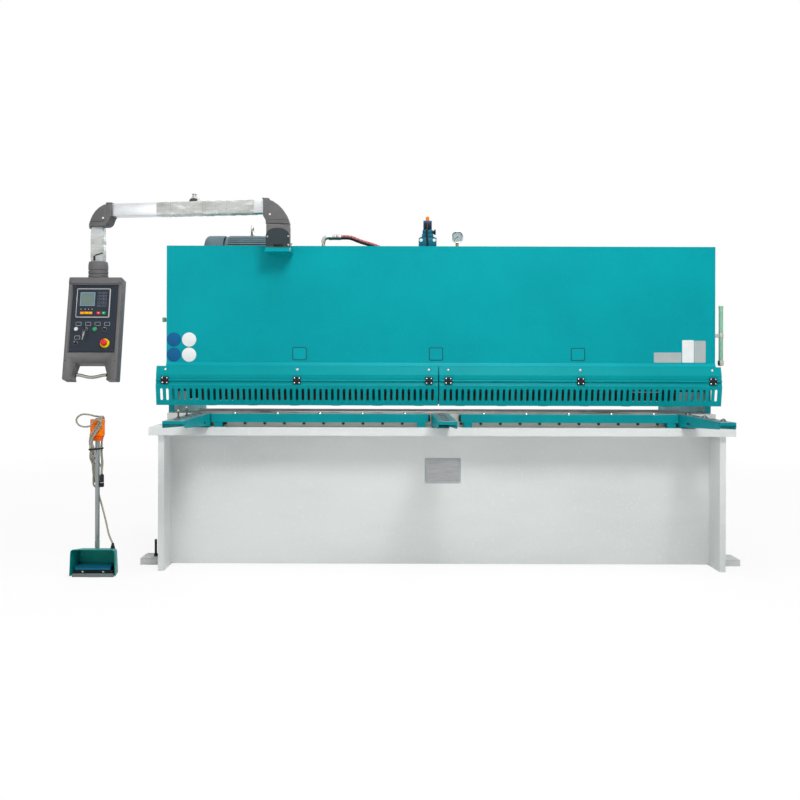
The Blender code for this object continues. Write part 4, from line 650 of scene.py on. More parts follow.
def pedal_cable():
    """One cable from hood to connector, with the gland, the connector and the band round the turns."""
    pedal = middle("pedal_hood")
    pole = middle("pedal_pole")
    connector_low, connector_high = box("cable_connector")
    connector = (connector_low + connector_high) / 2
    hood_top = 0.1236
    start = Vector((pedal.x + 0.0748, -0.040, hood_top + 0.002))
    route = cable_route(start, pole, connector)
    route.append(Vector((connector.x, connector.y, connector_high.z + SEAT)))
    line = smooth_line(route, 0.008)
    cable = cord_curve("pedal_cable_run", line, CABLE_RADIUS, CABLE_GREY)
    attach(cable, "machine")
    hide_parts("pedal_cable", "pedal_cable_hank", "pedal_cable_loop")

    relief = Shape("cable_gland")
    lean = turned_to((start.x, start.y, hood_top), -6.8, "X")
    relief.rod(BLACK, 0.0115, "Z", (0, 0, 0), 0.0, 0.006, 6, 0.001, at=lean)
    relief.turned(BLACK, [(0.0098, 0.004), (0.0095, 0.009), (0.0070, 0.018), (CABLE_RADIUS + 0.0006, 0.027)],
                  "Z", (start.x, start.y, hood_top), 20)
    gland = relief.done()

    plug = Shape("connector_body")
    top = connector_high.z
    bottom = connector_low.z
    radius = (connector_high.x - connector_low.x) / 2
    profile = [(radius * 0.6, top), (radius * 0.95, top - 0.006), (radius * 0.95, top - 0.036),
               (radius, top - 0.037), (radius, top - 0.039), (radius * 0.92, top - 0.040)]
    plug.turned(BLACK, profile, "Z", (connector.x, connector.y, 0), 28)
    plug.rod(FRAME_GREY, radius * 0.98, "Z", (connector.x, connector.y, 0), top - 0.043, top - 0.040, 28)
    plug.rod(BLACK, radius * 0.92, "Z", (connector.x, connector.y, 0), bottom, top - 0.043, 28, 0.001)
    for k in range(14):
        turn = Matrix.Translation((connector.x, connector.y, 0)) @ Matrix.Rotation(2 * pi * k / 14, 4, "Z")
        plug.box(BLACK, (radius * 0.9, radius), (-0.0008, 0.0008), (bottom + 0.004, bottom + 0.018), 0.0003,
                 at=turn)
    end = plug.done(["cable_connector"])

    tie = Shape("cable_tie")
    plan = [(-0.0310, -0.0420), (-0.0150, -0.0425), (0.0085, -0.0110), (0.0125, -0.0040), (0.0185, 0.0200),
            (0.0185, 0.0390), (0.0140, 0.0410), (-0.0180, 0.0210), (-0.0310, 0.0060)]
    outer = [(pole.x + x * 1.02, pole.y + y * 1.02) for x, y in plan]
    tie.prism(RUBBER, outer, "Z", TIE_Z - 0.0035, TIE_Z + 0.0035, 0.0005)
    tie.box(RUBBER, (pole.x - 0.026, pole.x - 0.019), (pole.y - 0.0465, pole.y - 0.0425),
            around(TIE_Z, 0.005))
    band = tie.done()
    hole = [(pole.x + x * 0.96, pole.y + y * 0.96) for x, y in plan]
    carve(band, [prism(hole, "Z", TIE_Z - 0.01, TIE_Z + 0.01)])


def pressure_hose():
    """The hose from the motor's side down into the valve stack."""
    low, high = box("pressure_hose")
    y = (low.y + high.y) / 2
    route = [
        (low.x, y, HOSE_TOP), (low.x + 0.0497, y, HOSE_TOP - 0.002), (-0.42, y, 1.690), (-0.34, y, 1.665),
        (-0.26, y, 1.630), (-0.20, y, 1.610), (high.x - 0.03, y, 1.600), (high.x, y, 1.600),
    ]
    line = smooth_line(route, 0.012)
    radius = 0.0125
    hose = cord_curve("pressure_hose_run", line, radius, HOSE)
    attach(hose, "machine")
    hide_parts("pressure_hose")


pedal_cable()
pressure_hose()


# Frame and bed
PAD_TOP = 0.032
PAD_EDGES = (0.167, 0.294, 0.950, 1.077)     # where the front and the rear foot pads begin and end
BOLT_X = HALF_BED + 0.0574
BOLT_FRONT = 0.226
BOLT_REAR = 1.013


def jack_bolts():
    """Levelling bolts on the foot pads, and a dark disc, painted shade, for the plain hole where none is
    fitted.
    """
    pad_top = PAD_TOP
    bolt_top = 0.1125
    shape = Shape("jack_bolts")
    for x, y in ((-BOLT_X, BOLT_FRONT), (-BOLT_X, BOLT_REAR), (BOLT_X, BOLT_REAR)):
        shape.rod(BLACK, 0.006, "Z", (x, y, 0), pad_top, bolt_top, 20)
        shape.turned(ZINC, [(0.013, pad_top), (0.013, pad_top + 0.003)], "Z", (x, y, 0), 24)
        shape.turned(BLACK, [(0.0098, pad_top + 0.003), (0.0106, pad_top + 0.005), (0.0106, pad_top + 0.011),
                             (0.0098, pad_top + 0.013)], "Z", (x, y, 0), 6)
        for k in range(20):
            z = pad_top + 0.018 + k * 0.0035
            shape.turned(BLACK, [(0.0062, z), (0.0068, z + 0.0012), (0.0062, z + 0.0024)], "Z", (x, y, 0), 20)
    # The empty hole is a thin dark disc on the pad: painted shade.
    shape.turned(DARK_STEEL, [(0.0095, pad_top + 0.0002), (0.0095, pad_top + 0.0006)], "Z",
                 (BOLT_X, BOLT_FRONT, 0), 24)
    shape.done()


def weld_bead(shape, start, end, radius):
    """A fillet weld: a row of overlapping ripples along a line."""
    start = Vector(start)
    end = Vector(end)
    count = max(2, round((end - start).length / (radius * 0.9)))
    points = [start.lerp(end, k / count) for k in range(count + 1)]
    solid = bmesh.new()
    rings = []
    for i in range(len(points)):
        swell = radius * (1.0 + 0.14 * ((i % 2) * 2 - 1))
        rings.append(ring_at(solid, points, i, swell, 8))
    shape.add(skin(solid, rings), WHITE)


def welds():
    """Beads down the apron's ends, across the foot pads and along the front pads' inner edge."""
    shape = Shape("frame_welds")
    apron_low, apron_high = box("front_apron")
    inner = HALF_BED - 0.030
    bead_y = apron_low.y - 0.001
    for side in (-1, 1):
        x = side * (inner - 0.001)
        pad_start = side * (HALF_BED + 0.002)
        pad_end = side * (HALF_BED + 0.118)
        weld_bead(shape, (x, bead_y, apron_low.z + 0.004), (x, bead_y, apron_high.z), 0.004)
        for y in PAD_EDGES:
            weld_bead(shape, (pad_start, y, PAD_TOP), (pad_end, y, PAD_TOP), 0.0025)
        weld_bead(shape, (pad_start, 0.170, 0.034), (pad_start, 0.291, 0.034), 0.004)
    shape.done()


def table_bolts():
    """Clamping screws along the work table's front face."""
    low, high = box("work_table")
    pitch = 0.098
    count = int((high.x - low.x - 0.1) / pitch)
    face = low.y
    head = [(0.0080, face), (0.0080, face - 0.006), (0.0070, face - 0.0075)]
    # The socket is a flat black hexagon on the head: painted shade for its recess.
    socket = [(0.0040, face - 0.0076), (0.0040, face - 0.0079)]
    shape = Shape("table_screws")
    for k in range(count + 1):
        place = ((low.x + high.x) / 2 + (k - count / 2) * pitch, 0, low.z + 0.016)
        shape.turned(DARK_STEEL, head, "Y", place, 16)
        shape.turned(BLACK, socket, "Y", place, 6)
    shape.done()


# Blank plates and labels
def plates():
    """The rating plate on the apron and the label places on the cover, all left blank."""
    apron = box("front_apron")[0].y
    plate = Shape("rating_plate")
    x = (-0.0794, 0.1045)
    z = (0.4143, 0.5435)
    plate.prism(LABEL_GREY, rounded(x, z, 0.004), "Y", apron - 0.0012, apron - 0.0002, 0.0004)
    plate.prism(STEEL, rounded((x[0] + 0.010, x[1] - 0.010), (z[0] + 0.010, z[1] - 0.010), 0.002), "Y",
                apron - 0.0015, apron - 0.0011, 0.0001)
    for rivet_x in (x[0] + 0.005, x[1] - 0.005):
        for rivet_z in (z[0] + 0.005, z[1] - 0.005):
            plate.dome(BRIGHT, 0.0026, 0.0014, "Y", (rivet_x, apron - 0.0012, rivet_z))
    plate.done()

    face = box("front_cover")[0].y + 0.0115
    disc = [(0.036, face - 0.0002), (0.036, face - 0.0008), (0.0355, face - 0.0010)]
    shape = Shape("blank_labels")
    for z in (1.1433, 1.0667):
        for x, finish in ((-1.3538, LABEL_BLUE), (-1.2767, LABEL_WHITE)):
            shape.turned(finish, disc, "Y", (x, 0, z), 48)
    for x in (-0.7168, -0.0244, 0.6953):
        shape.prism(LABEL_RIM, rounded(around(x, 0.036), (1.040, 1.106), 0.008), "Y", face - 0.0007,
                    face - 0.0002)
        shape.prism(TEAL, rounded(around(x, 0.032), (1.044, 1.102), 0.006), "Y", face - 0.0011,
                    face - 0.0006)
    label_low = 1.0325
    for x, label_top, finish in (
        ((1.0810, 1.2205), 1.0840, LABEL_GREY), ((1.2240, 1.2830), 1.1470, LABEL_WHITE),
        ((1.2850, 1.3430), 1.1440, LABEL_GREY),
    ):
        shape.prism(finish, rounded(x, (label_low, label_top), 0.004), "Y", face - 0.0009, face - 0.0002)
    shape.done()


# Guard hinges and screws
def hinge_places(start, end):
    """Where a flap's three hinges are along its strip."""
    margin = 0.046
    return [start + margin, (start + end) / 2, end - margin]


def guard_hinges():
    """Black moulded hinge leaves over the CAD hinges, a backing behind them, and the strips' screws."""
    axis_y = 0.1290
    axis_z = 0.9380
    half = 0.0195
    fixed = Shape("hinge_leaves_fixed")
    screws = Shape("strip_screws")
    third = 2 * half / 3
    front = axis_y - 0.0048
    back = axis_y + 0.0004
    near = 0.0046            # a leaf's edges, from the hinge's axis
    far = 0.0185
    strip_face = 0.1424
    strip_screw_z = 0.9925
    for side in ("left", "right"):
        low, high = box("guard_strip_" + side)
        moving = Shape("hinge_leaves_" + side, "guard_" + side)
        for x in hinge_places(low.x, high.x):
            upper = rounded(around(x, half), (axis_z + near, axis_z + far), 0.003)
            lower = rounded(around(x, half), (axis_z - far, axis_z - near), 0.003)
            fixed.prism(BLACK, upper, "Y", front, back, 0.0008)
            moving.prism(BLACK, lower, "Y", front, back, 0.0008)
            for k, shape in ((0, fixed), (1, moving), (2, fixed)):
                start = x - half + k * third + 0.0003
                shape.rod(BLACK, 0.0062, "X", (0, axis_y, axis_z), start, start + third - 0.0006, 20, 0.0005)
            for screw_x in (x - 0.0118, x + 0.0118):
                fixed.dome(BRIGHT, 0.0034, 0.0012, "Y", (screw_x, front, axis_z + 0.0118))
                moving.dome(BRIGHT, 0.0034, 0.0012, "Y", (screw_x, front, axis_z - 0.0118))
            screws.turned(ZINC, [(0.0062, 0.1436), (0.0062, strip_face)], "Y", (x, 0, strip_screw_z), 20)
            screws.dome(BRIGHT, 0.0050, 0.0024, "Y", (x, strip_face, strip_screw_z))
        moving.done()
    fixed.done()
    screws.done()
    backing = Shape("hinge_backing")
    for side in ("left", "right"):
        low, high = box("guard_strip_" + side)
        backing.box(GUARD_TEAL, (low.x + 0.001, high.x - 0.001), (high.y - 0.0002, high.y + 0.0012),
                    (axis_z - 0.010, axis_z + 0.012), 0.0)
        backing.rod(GUARD_TEAL, 0.0042, "X", (0, axis_y, axis_z), low.x + 0.001, high.x - 0.001, 12, 0)
    backing.done()


def blade_lip():
    """The strip over the upper blade that shows between the pressers, where the blade holder stands; its dark
    brown is painted shade.
    """
    low, high = box("upper_blade")
    strip = Shape("blade_lip")
    strip.box(LIP_PAINTED_SHADE, (low.x, high.x), (low.y - 0.0080, low.y - 0.0015), (0.8300, 0.8760), 0.0005)
    strip.done()


# Sheet supports
def rail_balls():
    """Steel transfer balls in flanged cups on both rails, and the black knobs on their inner ends."""
    pitch = 0.2106
    top = 0.774
    left_end = -0.068        # the rails' inner ends
    right_end = 0.093
    shape = Shape("rail_balls")
    y = box("ball_rail_left")[0].y + 0.0225
    for start, end in ((-1.139, left_end), (right_end, 1.166)):
        gaps = int((end - start - 0.160) / pitch)
        for k in range(gaps + 1):
            x = (start + end) / 2 + (k - gaps / 2) * pitch
            shape.turned(ZINC, [(0.0172, top + 0.0001), (0.0172, top + 0.0012), (0.0158, top + 0.0022),
                                (0.0130, top + 0.0026)], "Z", (x, y, 0), 28)
            ball = [(0.0100 * sin(pi * k / 14), top - 0.0010 - 0.0100 * cos(pi * k / 14))
                    for k in range(4, 14)]
            shape.turned(BRIGHT, ball, "Z", (x, y, 0), 24)
    for x, way in ((left_end, 1), (right_end, -1)):
        ends = (x + way * 0.0003, x + way * 0.0093)
        profile = [(0.0172, ends[0]), (0.0172, ends[1] - way * 0.002), (0.0160, ends[1])]
        shape.turned(BLACK, profile, "X", (0, y, top - 0.020), 28)
        shape.turned(BLACK, [(0.0178, ends[0] + way * 0.002), (0.0178, ends[0] + way * 0.005)], "X",
                     (0, y, top - 0.020), 28)
    shape.done()


def arm_tops():
    """Bare plates on the front arms with their ball units, and the two stop pins on the left arm."""
    shape = Shape("arm_top_plates")
    top = box("support_arm_left")[1].z
    for name in ("support_arm_left", "support_arm_middle", "support_arm_right"):
        low, high = box(name)
        shape.box(STEEL, (low.x + 0.005, high.x - 0.005), (low.y + 0.006, high.y - 0.004),
                  (top + 0.0001, top + 0.0014), 0.0004)
        x = (low.x + high.x) / 2
        for k in range(5):
            y = low.y + 0.060 + k * 0.125
            shape.turned(DARK_STEEL, [(0.0165, top + 0.0013), (0.0165, top + 0.0022), (0.0150, top + 0.0026)],
                         "Z", (x, y, 0), 24)
            if name == "support_arm_right" and k % 2 == 0:
                shape.turned(DARK_STEEL,
                             [(0.0130, top + 0.0024), (0.0100, top + 0.0090), (0.0045, top + 0.0135),
                              (0.0015, top + 0.0145)], "Z", (x, y, 0), 20)
            else:
                shape.turned(DARK_STEEL,
                             [(0.0110, top + 0.0025), (0.0095, top + 0.0042), (0.0050, top + 0.0056)],
                             "Z", (x, y, 0), 20)
    shape.done()

    pins = Shape("arm_stops")
    left = middle("support_arm_left").x
    for x, y, height in ((left - 0.018, -0.200, 0.045), (left - 0.024, -0.350, 0.038)):
        pins.rod(DARK_STEEL, 0.0042, "Z", (x, y, 0), top + 0.0015, top + height, 16)
        pins.turned(DARK_STEEL, [(0.0085, top + 0.0015), (0.0085, top + 0.0065)], "Z", (x, y, 0), 6)
        pins.turned(ZINC,
                    [(0.0058, top + height - 0.006), (0.0058, top + height), (0.0050, top + height + 0.001)],
                    "Z", (x, y, 0), 16)
    pins.done()


# Power unit behind the cover's top
TANK_TOP = box("oil_tank")[1].z + SEAT


def motor():
    """Fan-cooled motor: cowl with ring grooves in its end, finned body, end shields, foot, lifting eye."""
    low, high = box("motor")
    centre_y = (low.y + high.y) / 2
    pump_low, pump_high = box("pump")
    centre_z = pump_low.z + (pump_high.z - pump_low.z) / 2
    radius = (high.y - low.y) / 2
    left = low.x
    made = Shape("motor_body")
    cowl_end = left + 0.111
    body_start = cowl_end + 0.006
    body_end = body_start + 0.330
    profile = [(0.020, left + 0.004), (0.022, left + 0.002), (0.046, left + 0.002), (0.047, left + 0.008),
               (0.053, left + 0.008), (0.054, left + 0.002), (0.072, left + 0.002), (0.073, left + 0.008),
               (0.079, left + 0.008), (0.080, left + 0.0025), (0.098, left + 0.003), (0.112, left + 0.006),
               (0.119, left + 0.012), (radius - 0.001, left + 0.022), (radius, left + 0.050),
               (radius, cowl_end), (radius - 0.003, cowl_end), (radius - 0.004, cowl_end - 0.012)]
    made.turned(MOTOR_GREY, profile, "X", (0, centre_y, centre_z), 56)
    made.rod(DARK_STEEL, radius - 0.019, "X", (0, centre_y, centre_z), cowl_end - 0.014, body_start + 0.004,
             48)
    fins = 44
    outline = []
    for k in range(fins):
        for share, reach in ((0.0, 0.010), (0.22, 0.010), (0.28, 0.0010), (0.34, 0.0), (0.90, 0.0),
                             (0.96, 0.0010)):
            angle = 2 * pi * (k + share) / fins
            outline.append((centre_y + (radius - reach) * cos(angle),
                            centre_z + (radius - reach) * sin(angle)))
    made.prism(MOTOR_GREY, outline, "X", body_start + 0.018, body_end - 0.020)
    for start, end in ((body_start, body_start + 0.019), (body_end - 0.021, body_end)):
        made.rod(MOTOR_GREY, radius - 0.004, "X", (0, centre_y, centre_z), start, end, 48, 0.003)
    for k in range(4):
        angle = radians(45 + 90 * k)
        y = centre_y + (radius - 0.016) * cos(angle)
        z = centre_z + (radius - 0.016) * sin(angle)
        made.rod(ZINC, 0.007, "X", (0, y, z), body_end, body_end + 0.0035, 6, 0.0004)
    foot_low = TANK_TOP
    foot = [(centre_y - 0.100, foot_low), (centre_y + 0.100, foot_low), (centre_y + 0.100, foot_low + 0.014),
            (centre_y + 0.060, foot_low + 0.050), (centre_y + 0.055, centre_z - 0.085),
            (centre_y - 0.055, centre_z - 0.085), (centre_y - 0.060, foot_low + 0.050),
            (centre_y - 0.100, foot_low + 0.014)]
    made.prism(MOTOR_GREY, foot, "X", body_start + 0.04, body_end - 0.04, 0.003)
    for x in (body_start + 0.065, body_end - 0.065):
        for y in (centre_y - 0.086, centre_y + 0.086):
            made.rod(ZINC, 0.013, "Z", (x, y, 0), foot_low + 0.014, foot_low + 0.016, 24)
            made.rod(ZINC, 0.0095, "Z", (x, y, 0), foot_low + 0.016, foot_low + 0.024, 6)
    eye_x = left + 0.2555
    eye_z = centre_z + radius + 0.030
    made.rod(ZINC, 0.013, "Z", (eye_x, centre_y, 0), centre_z + radius - 0.004, centre_z + radius + 0.006, 24)
    ring = [(eye_x, centre_y + a, eye_z + b) for a, b in arc((0.0, 0.0), 0.026, -90, 270, 32)]
    made.tube(ZINC, ring[:-1] + [ring[0]], 0.0058, 12)
    made.done(["motor"])


def pump():
    """Flanged pump on the motor's right end."""
    low, high = box("pump")
    y = (low.y + high.y) / 2
    z = (low.z + high.z) / 2
    made = Shape("pump_body")
    made.rod(MOTOR_GREY, 0.0875, "X", (0, y, z), low.x, low.x + 0.030, 48, 0.003)
    made.turned(CAST_DARK, [(0.066, low.x + 0.030), (0.060, low.x + 0.040), (0.060, high.x - 0.030),
                            (0.052, high.x - 0.026), (0.052, high.x - 0.004), (0.049, high.x)],
                "X", (0, y, z), 40)
    for k in range(6):
        angle = 2 * pi * k / 6
        made.rod(ZINC, 0.006, "X", (0, y + 0.076 * cos(angle), z + 0.076 * sin(angle)),
                 low.x + 0.030, low.x + 0.036, 6, 0.0004)
    made.done(["pump"])


def valve_stack():
    """Four valve blocks with a coil on top, its orange cap, its plug and wire, and a black side knob."""
    low, high = box("valve_stack")
    x = (low.x + high.x) / 2
    y = (low.y + high.y) / 2
    half = (high.x - low.x) / 2
    made = Shape("valve_body")
    front = y - half
    block_top = 1.7070
    neck_top = 1.730
    collar_top = 1.753
    coil_top = 1.803
    for start, end in ((TANK_TOP, 1.520), (1.521, 1.590), (1.591, 1.648), (1.649, block_top)):
        made.box(VALVE_BLUE, around(x, half), around(y, half), (start, end), 0.002)
    for bolt_x in (-0.034, 0.034):
        for bolt_y in (-0.034, 0.034):
            made.rod(DARK_STEEL, 0.006, "Z", (x + bolt_x, y + bolt_y, 0), block_top, block_top + 0.005, 20)
    for plug_x in (-0.0908, -0.0191):
        made.rod(LABEL_WHITE, 0.009, "Y", (plug_x, front, 1.692), -0.0020, 0.0, 24, 0.0006)
    made.rod(ZINC, 0.012, "X", (0, y, 1.620), x - half - SEAT, x - half + 0.004, 6)
    made.box(VALVE_BLUE, around(x, 0.031), around(y, 0.031), (block_top, neck_top), 0.002)
    made.box(VALVE_BLUE, around(x, 0.027), around(y, 0.027), (neck_top, collar_top), 0.003)
    made.box(COIL_BLUE, around(x, 0.023), around(y, 0.023), (collar_top, coil_top), 0.003)
    made.box(BLACK, around(x, 0.018), (y - 0.029, y - 0.022), (collar_top + 0.004, coil_top - 0.011), 0.002)
    cap = [(0.010, coil_top), (0.010, coil_top + 0.015), (0.0075, coil_top + 0.023),
           (0.004, coil_top + 0.025)]
    made.turned(ORANGE, cap, "Z", (x, y, 0), 24)
    knob_z = 1.742
    made.rod(BLACK, 0.0095, "X", (0, y, knob_z), x + 0.026, x + 0.040, 20, 0.001)
    made.rod(BLACK, 0.0150, "X", (0, y, knob_z), x + 0.036, x + 0.045, 20, 0.002)
    plug_z = 1.774
    wire_y = y - 0.0535
    wire = [(x, y - 0.029, plug_z), (x - 0.001, y - 0.042, 1.770), (x - 0.003, y - 0.049, 1.756),
            (x - 0.005, y - 0.051, 1.736), (x - 0.004, y - 0.052, 1.710), (x - 0.002, y - 0.0525, 1.68),
            (x, wire_y, 1.62), (x, wire_y, TANK_TOP + 0.02)]
    made.tube(BLACK, smooth_line(wire, 0.008), 0.0050, 10)
    made.rod(BLACK, 0.008, "Y", (x, y - 0.029, plug_z), -0.010, 0.0, 20, 0.001)
    made.rod(ZINC, 0.007, "Z", (x, wire_y, 0), TANK_TOP, TANK_TOP + 0.022, 20)
    made.done(["valve_stack"])


def gauge():
    """Chromed gauge with a scale of plain marks, on its brass pipe."""
    low, high = box("pressure_gauge")
    x = (low.x + high.x) / 2
    y = (low.y + high.y) / 2
    radius = (high.x - low.x) / 2
    z = high.z - radius
    made = Shape("gauge_body")
    made.turned(BRIGHT, [(radius * 0.94, 0.015), (radius * 0.96, -0.010), (radius, -0.011), (radius, -0.0155),
                         (radius * 0.93, -0.0165), (radius * 0.86, -0.0145), (radius * 0.86, -0.012)],
                "Y", (x, y, z), 48)
    made.rod(LABEL_GREY, radius * 0.855, "Y", (x, y, z), -0.0128, -0.0122, 48, 0)
    for k in range(13):
        turn = turned_to((x, y, z), -135 + 22.5 * k, "Y")
        made.box(BLACK, (-0.0006, 0.0006), (-0.0135, -0.0128), (radius * 0.62, radius * 0.78), 0, at=turn)
    hand = turned_to((x, y, z), -128, "Y")
    made.box(BLACK, (-0.0007, 0.0007), (-0.0141, -0.0136), (-0.006, radius * 0.66), 0, at=hand)
    made.rod(BLACK, 0.0028, "Y", (x, y, z), -0.0145, -0.0128, 16)
    made.rod(BRASS, 0.009, "Z", (x, y, 0), z - radius - 0.020, z - radius + 0.004, 6, 0.0006)
    made.rod(BRASS, 0.0065, "Z", (x, y, 0), TANK_TOP, z - radius - 0.020, 20)
    made.rod(BRASS, 0.0105, "Z", (x, y, 0), TANK_TOP, TANK_TOP + 0.014, 6, 0.0006)
    made.done(["pressure_gauge"])


def hose_elbow():
    """Bent pipe from the tank, with its nuts and the hose's ferrule."""
    low, high = box("hose_elbow")
    x = low.x + 0.020
    y = (low.y + high.y) / 2
    z = HOSE_TOP
    made = Shape("hose_fitting")
    made.rod(ZINC, 0.0195, "Z", (x, y, 0), TANK_TOP, TANK_TOP + 0.022, 6, 0.0008)
    bend = [(x, y, TANK_TOP + 0.02), (x, y, 1.66)]
    turn = 0.024
    for a in range(0, 91, 10):
        bend.append((x + turn - turn * cos(radians(a)), y, z - turn + turn * sin(radians(a))))
    bend += [(x + 0.040, y, z)]
    made.tube(ZINC, bend, 0.0125, 20)
    made.rod(ZINC, 0.0175, "X", (0, y, z), x + 0.030, x + 0.046, 6, 0.0008)
    made.turned(FERRULE, [(0.0142, x + 0.044), (0.0150, x + 0.047), (0.0150, x + 0.054), (0.0143, x + 0.056),
                          (0.0150, x + 0.058), (0.0150, x + 0.068), (0.0143, x + 0.070), (0.0150, x + 0.072),
                          (0.0150, x + 0.094), (0.0140, high.x)], "X", (0, y, z), 32)
    made.done(["hose_elbow"])


def side_fittings():
    """Green pipe with its nut and stay on the right, and a short green fitting on the left."""
    low, high = box("side_pipe")
    x = high.x - 0.0176
    y = (low.y + high.y) / 2
    made = Shape("pipe_right")
    made.rod(PIPE_GREEN, 0.011, "Z", (x, y, 0), low.z + 0.020, high.z - 0.010, 32, 0.001)
    made.rod(PIPE_GREEN, 0.0118, "Z", (x, y, 0), high.z - 0.014, high.z, 32, 0.002)
    made.rod(ZINC, 0.0165, "Z", (x, y, 0), low.z + 0.004, low.z + 0.026, 6, 0.001)
    made.rod(ZINC, 0.0125, "Z", (x, y, 0), low.z - 0.002, low.z + 0.005, 24, 0.001)
    stay_z = (low.z + high.z) / 2
    made.box(ZINC, (low.x, x), around(y, 0.008), around(stay_z, 0.010), 0.001)
    made.rod(ZINC, 0.0132, "Z", (x, y, 0), stay_z - 0.011, stay_z + 0.011, 32, 0.001)
    made.done(["side_pipe"])
    low, high = box("side_fitting")
    y = (low.y + high.y) / 2
    z = (low.z + high.z) / 2
    made = Shape("fitting_left")
    made.rod(ZINC, 0.013, "X", (0, y, z), high.x - 0.020, high.x, 6, 0.0008)
    made.rod(PIPE_GREEN, 0.0095, "X", (0, y, z), low.x + 0.010, high.x - 0.018, 24)
    made.rod(PIPE_GREEN, 0.0125, "X", (0, y, z), low.x, low.x + 0.016, 24, 0.002)
    made.done(["side_fitting"])


motor()
pump()
valve_stack()
gauge()
hose_elbow()
side_fittings()


# Pendant arm, in a frame that runs along it
PIVOT = Vector((middle("arm_base").x, middle("arm_base").y, box("arm_base")[1].z + SEAT))
ARM = MACHINE @ Matrix.Translation(PIVOT) @ Matrix.Rotation(radians(ARM_SWING), 4, "Z")
TUBE_FAR = 0.8815
TUBE_NEAR = 0.0662
ELBOW_FRONT = -0.060
ELBOW_REAR = 0.036
DROP_LOW = 0.0110        # the outer elbow's lower edge, above the arm's swivel plane
TUBE_LOW = 0.0615
TUBE_HIGH = 0.1265
TUBE_HALF = 0.0325
FILM_FROM = 0.636
FILM_TO = 0.121
KNOT_AT = 0.4387


def screw_head(made, x, y, z, radius=0.005):
    """A pale round head on a face towards the operator, with a socket in it."""
    made.turned(ZINC,
                [(radius, y), (radius, y - 0.0016), (radius * 0.86, y - 0.0024), (radius * 0.5, y - 0.0025),
                 (radius * 0.46, y - 0.0012)], "Y", (x, 0, z), 24)


def arm_base():
    """The base on the cover's bracket, with the screws and the slot of its front cover."""
    low, high = box("arm_base")
    made = Shape("arm_base_body")
    plan = [(PIVOT.x - 0.0570, low.y), (PIVOT.x + 0.0610, low.y), (PIVOT.x + 0.0520, high.y),
            (PIVOT.x - 0.0520, high.y)]
    made.prism(CAST_GREY, plan, "Z", low.z, high.z, 0.005, 3)
    made.done(["arm_base"])

    made = Shape("arm_base_trim")
    cover_front = box("arm_base_cover")[0].y
    for x, z in ((0.0530, 1.6520), (-0.0500, 1.6500), (0.0535, 1.6090)):
        screw_head(made, PIVOT.x + x, cover_front, z, 0.0044)
    # The slot is a thin black box on the cover: painted shade for its opening.
    made.box(RUBBER, (PIVOT.x - 0.020, PIVOT.x + 0.026), (cover_front - 0.0012, cover_front + 0.001),
             (1.6015, 1.6125), 0.0005)
    bracket_low, bracket_high = box("arm_bracket")
    made.box(ZINC, (PIVOT.x + 0.0600, PIVOT.x + 0.0632), (bracket_low.y - 0.0010, bracket_low.y + 0.001),
             (bracket_low.z + 0.002, bracket_high.z - 0.002), 0.0003)
    made.done()


def base_elbow():
    """The elbow that swings on the base, narrower towards its rear, with a cap over the tube."""
    made = Shape("arm_elbow_body", "pendant_arm", ARM)
    outline = [(-0.0520, 0.0), (0.0690, 0.0), (0.0680, 0.0110), (0.0630, 0.0270), (0.0510, 0.0500),
               (0.0330, 0.0750), (0.0110, 0.0970), (-0.0140, 0.1140), (-0.0390, 0.1240), (-0.0665, 0.1275),
               (-0.0665, 0.0425), (-0.0535, 0.0215)]
    tube_end = -0.0665
    rear_share = 0.86
    rear = [(tube_end + (x - tube_end) * rear_share, z) for x, z in outline]
    made.prism(CAST_GREY, outline, "Y", ELBOW_FRONT, ELBOW_REAR, 0.004, 3, far=rear)
    cap = [(-0.0715, 0.1240), (-0.0420, 0.1220), (-0.0390, 0.1305), (-0.0715, 0.1325)]
    made.prism(CAST_GREY, cap, "Y", ELBOW_FRONT + 0.004, ELBOW_FRONT + 0.034, 0.0015)
    # Two thin dark lines across the front: painted shade.
    made.box(CAST_DARK, (-0.0460, 0.0580), (ELBOW_FRONT - 0.0004, ELBOW_FRONT + 0.0006), (0.0215, 0.0230),
             0.0002)
    made.box(CAST_DARK, (-0.0280, 0.0380), around(ELBOW_FRONT, 0.0006), (0.0005, 0.0045), 0.0003)
    screw_head(made, -0.0300, ELBOW_FRONT, 0.0485, 0.0055)
    made.done(["arm_elbow"])


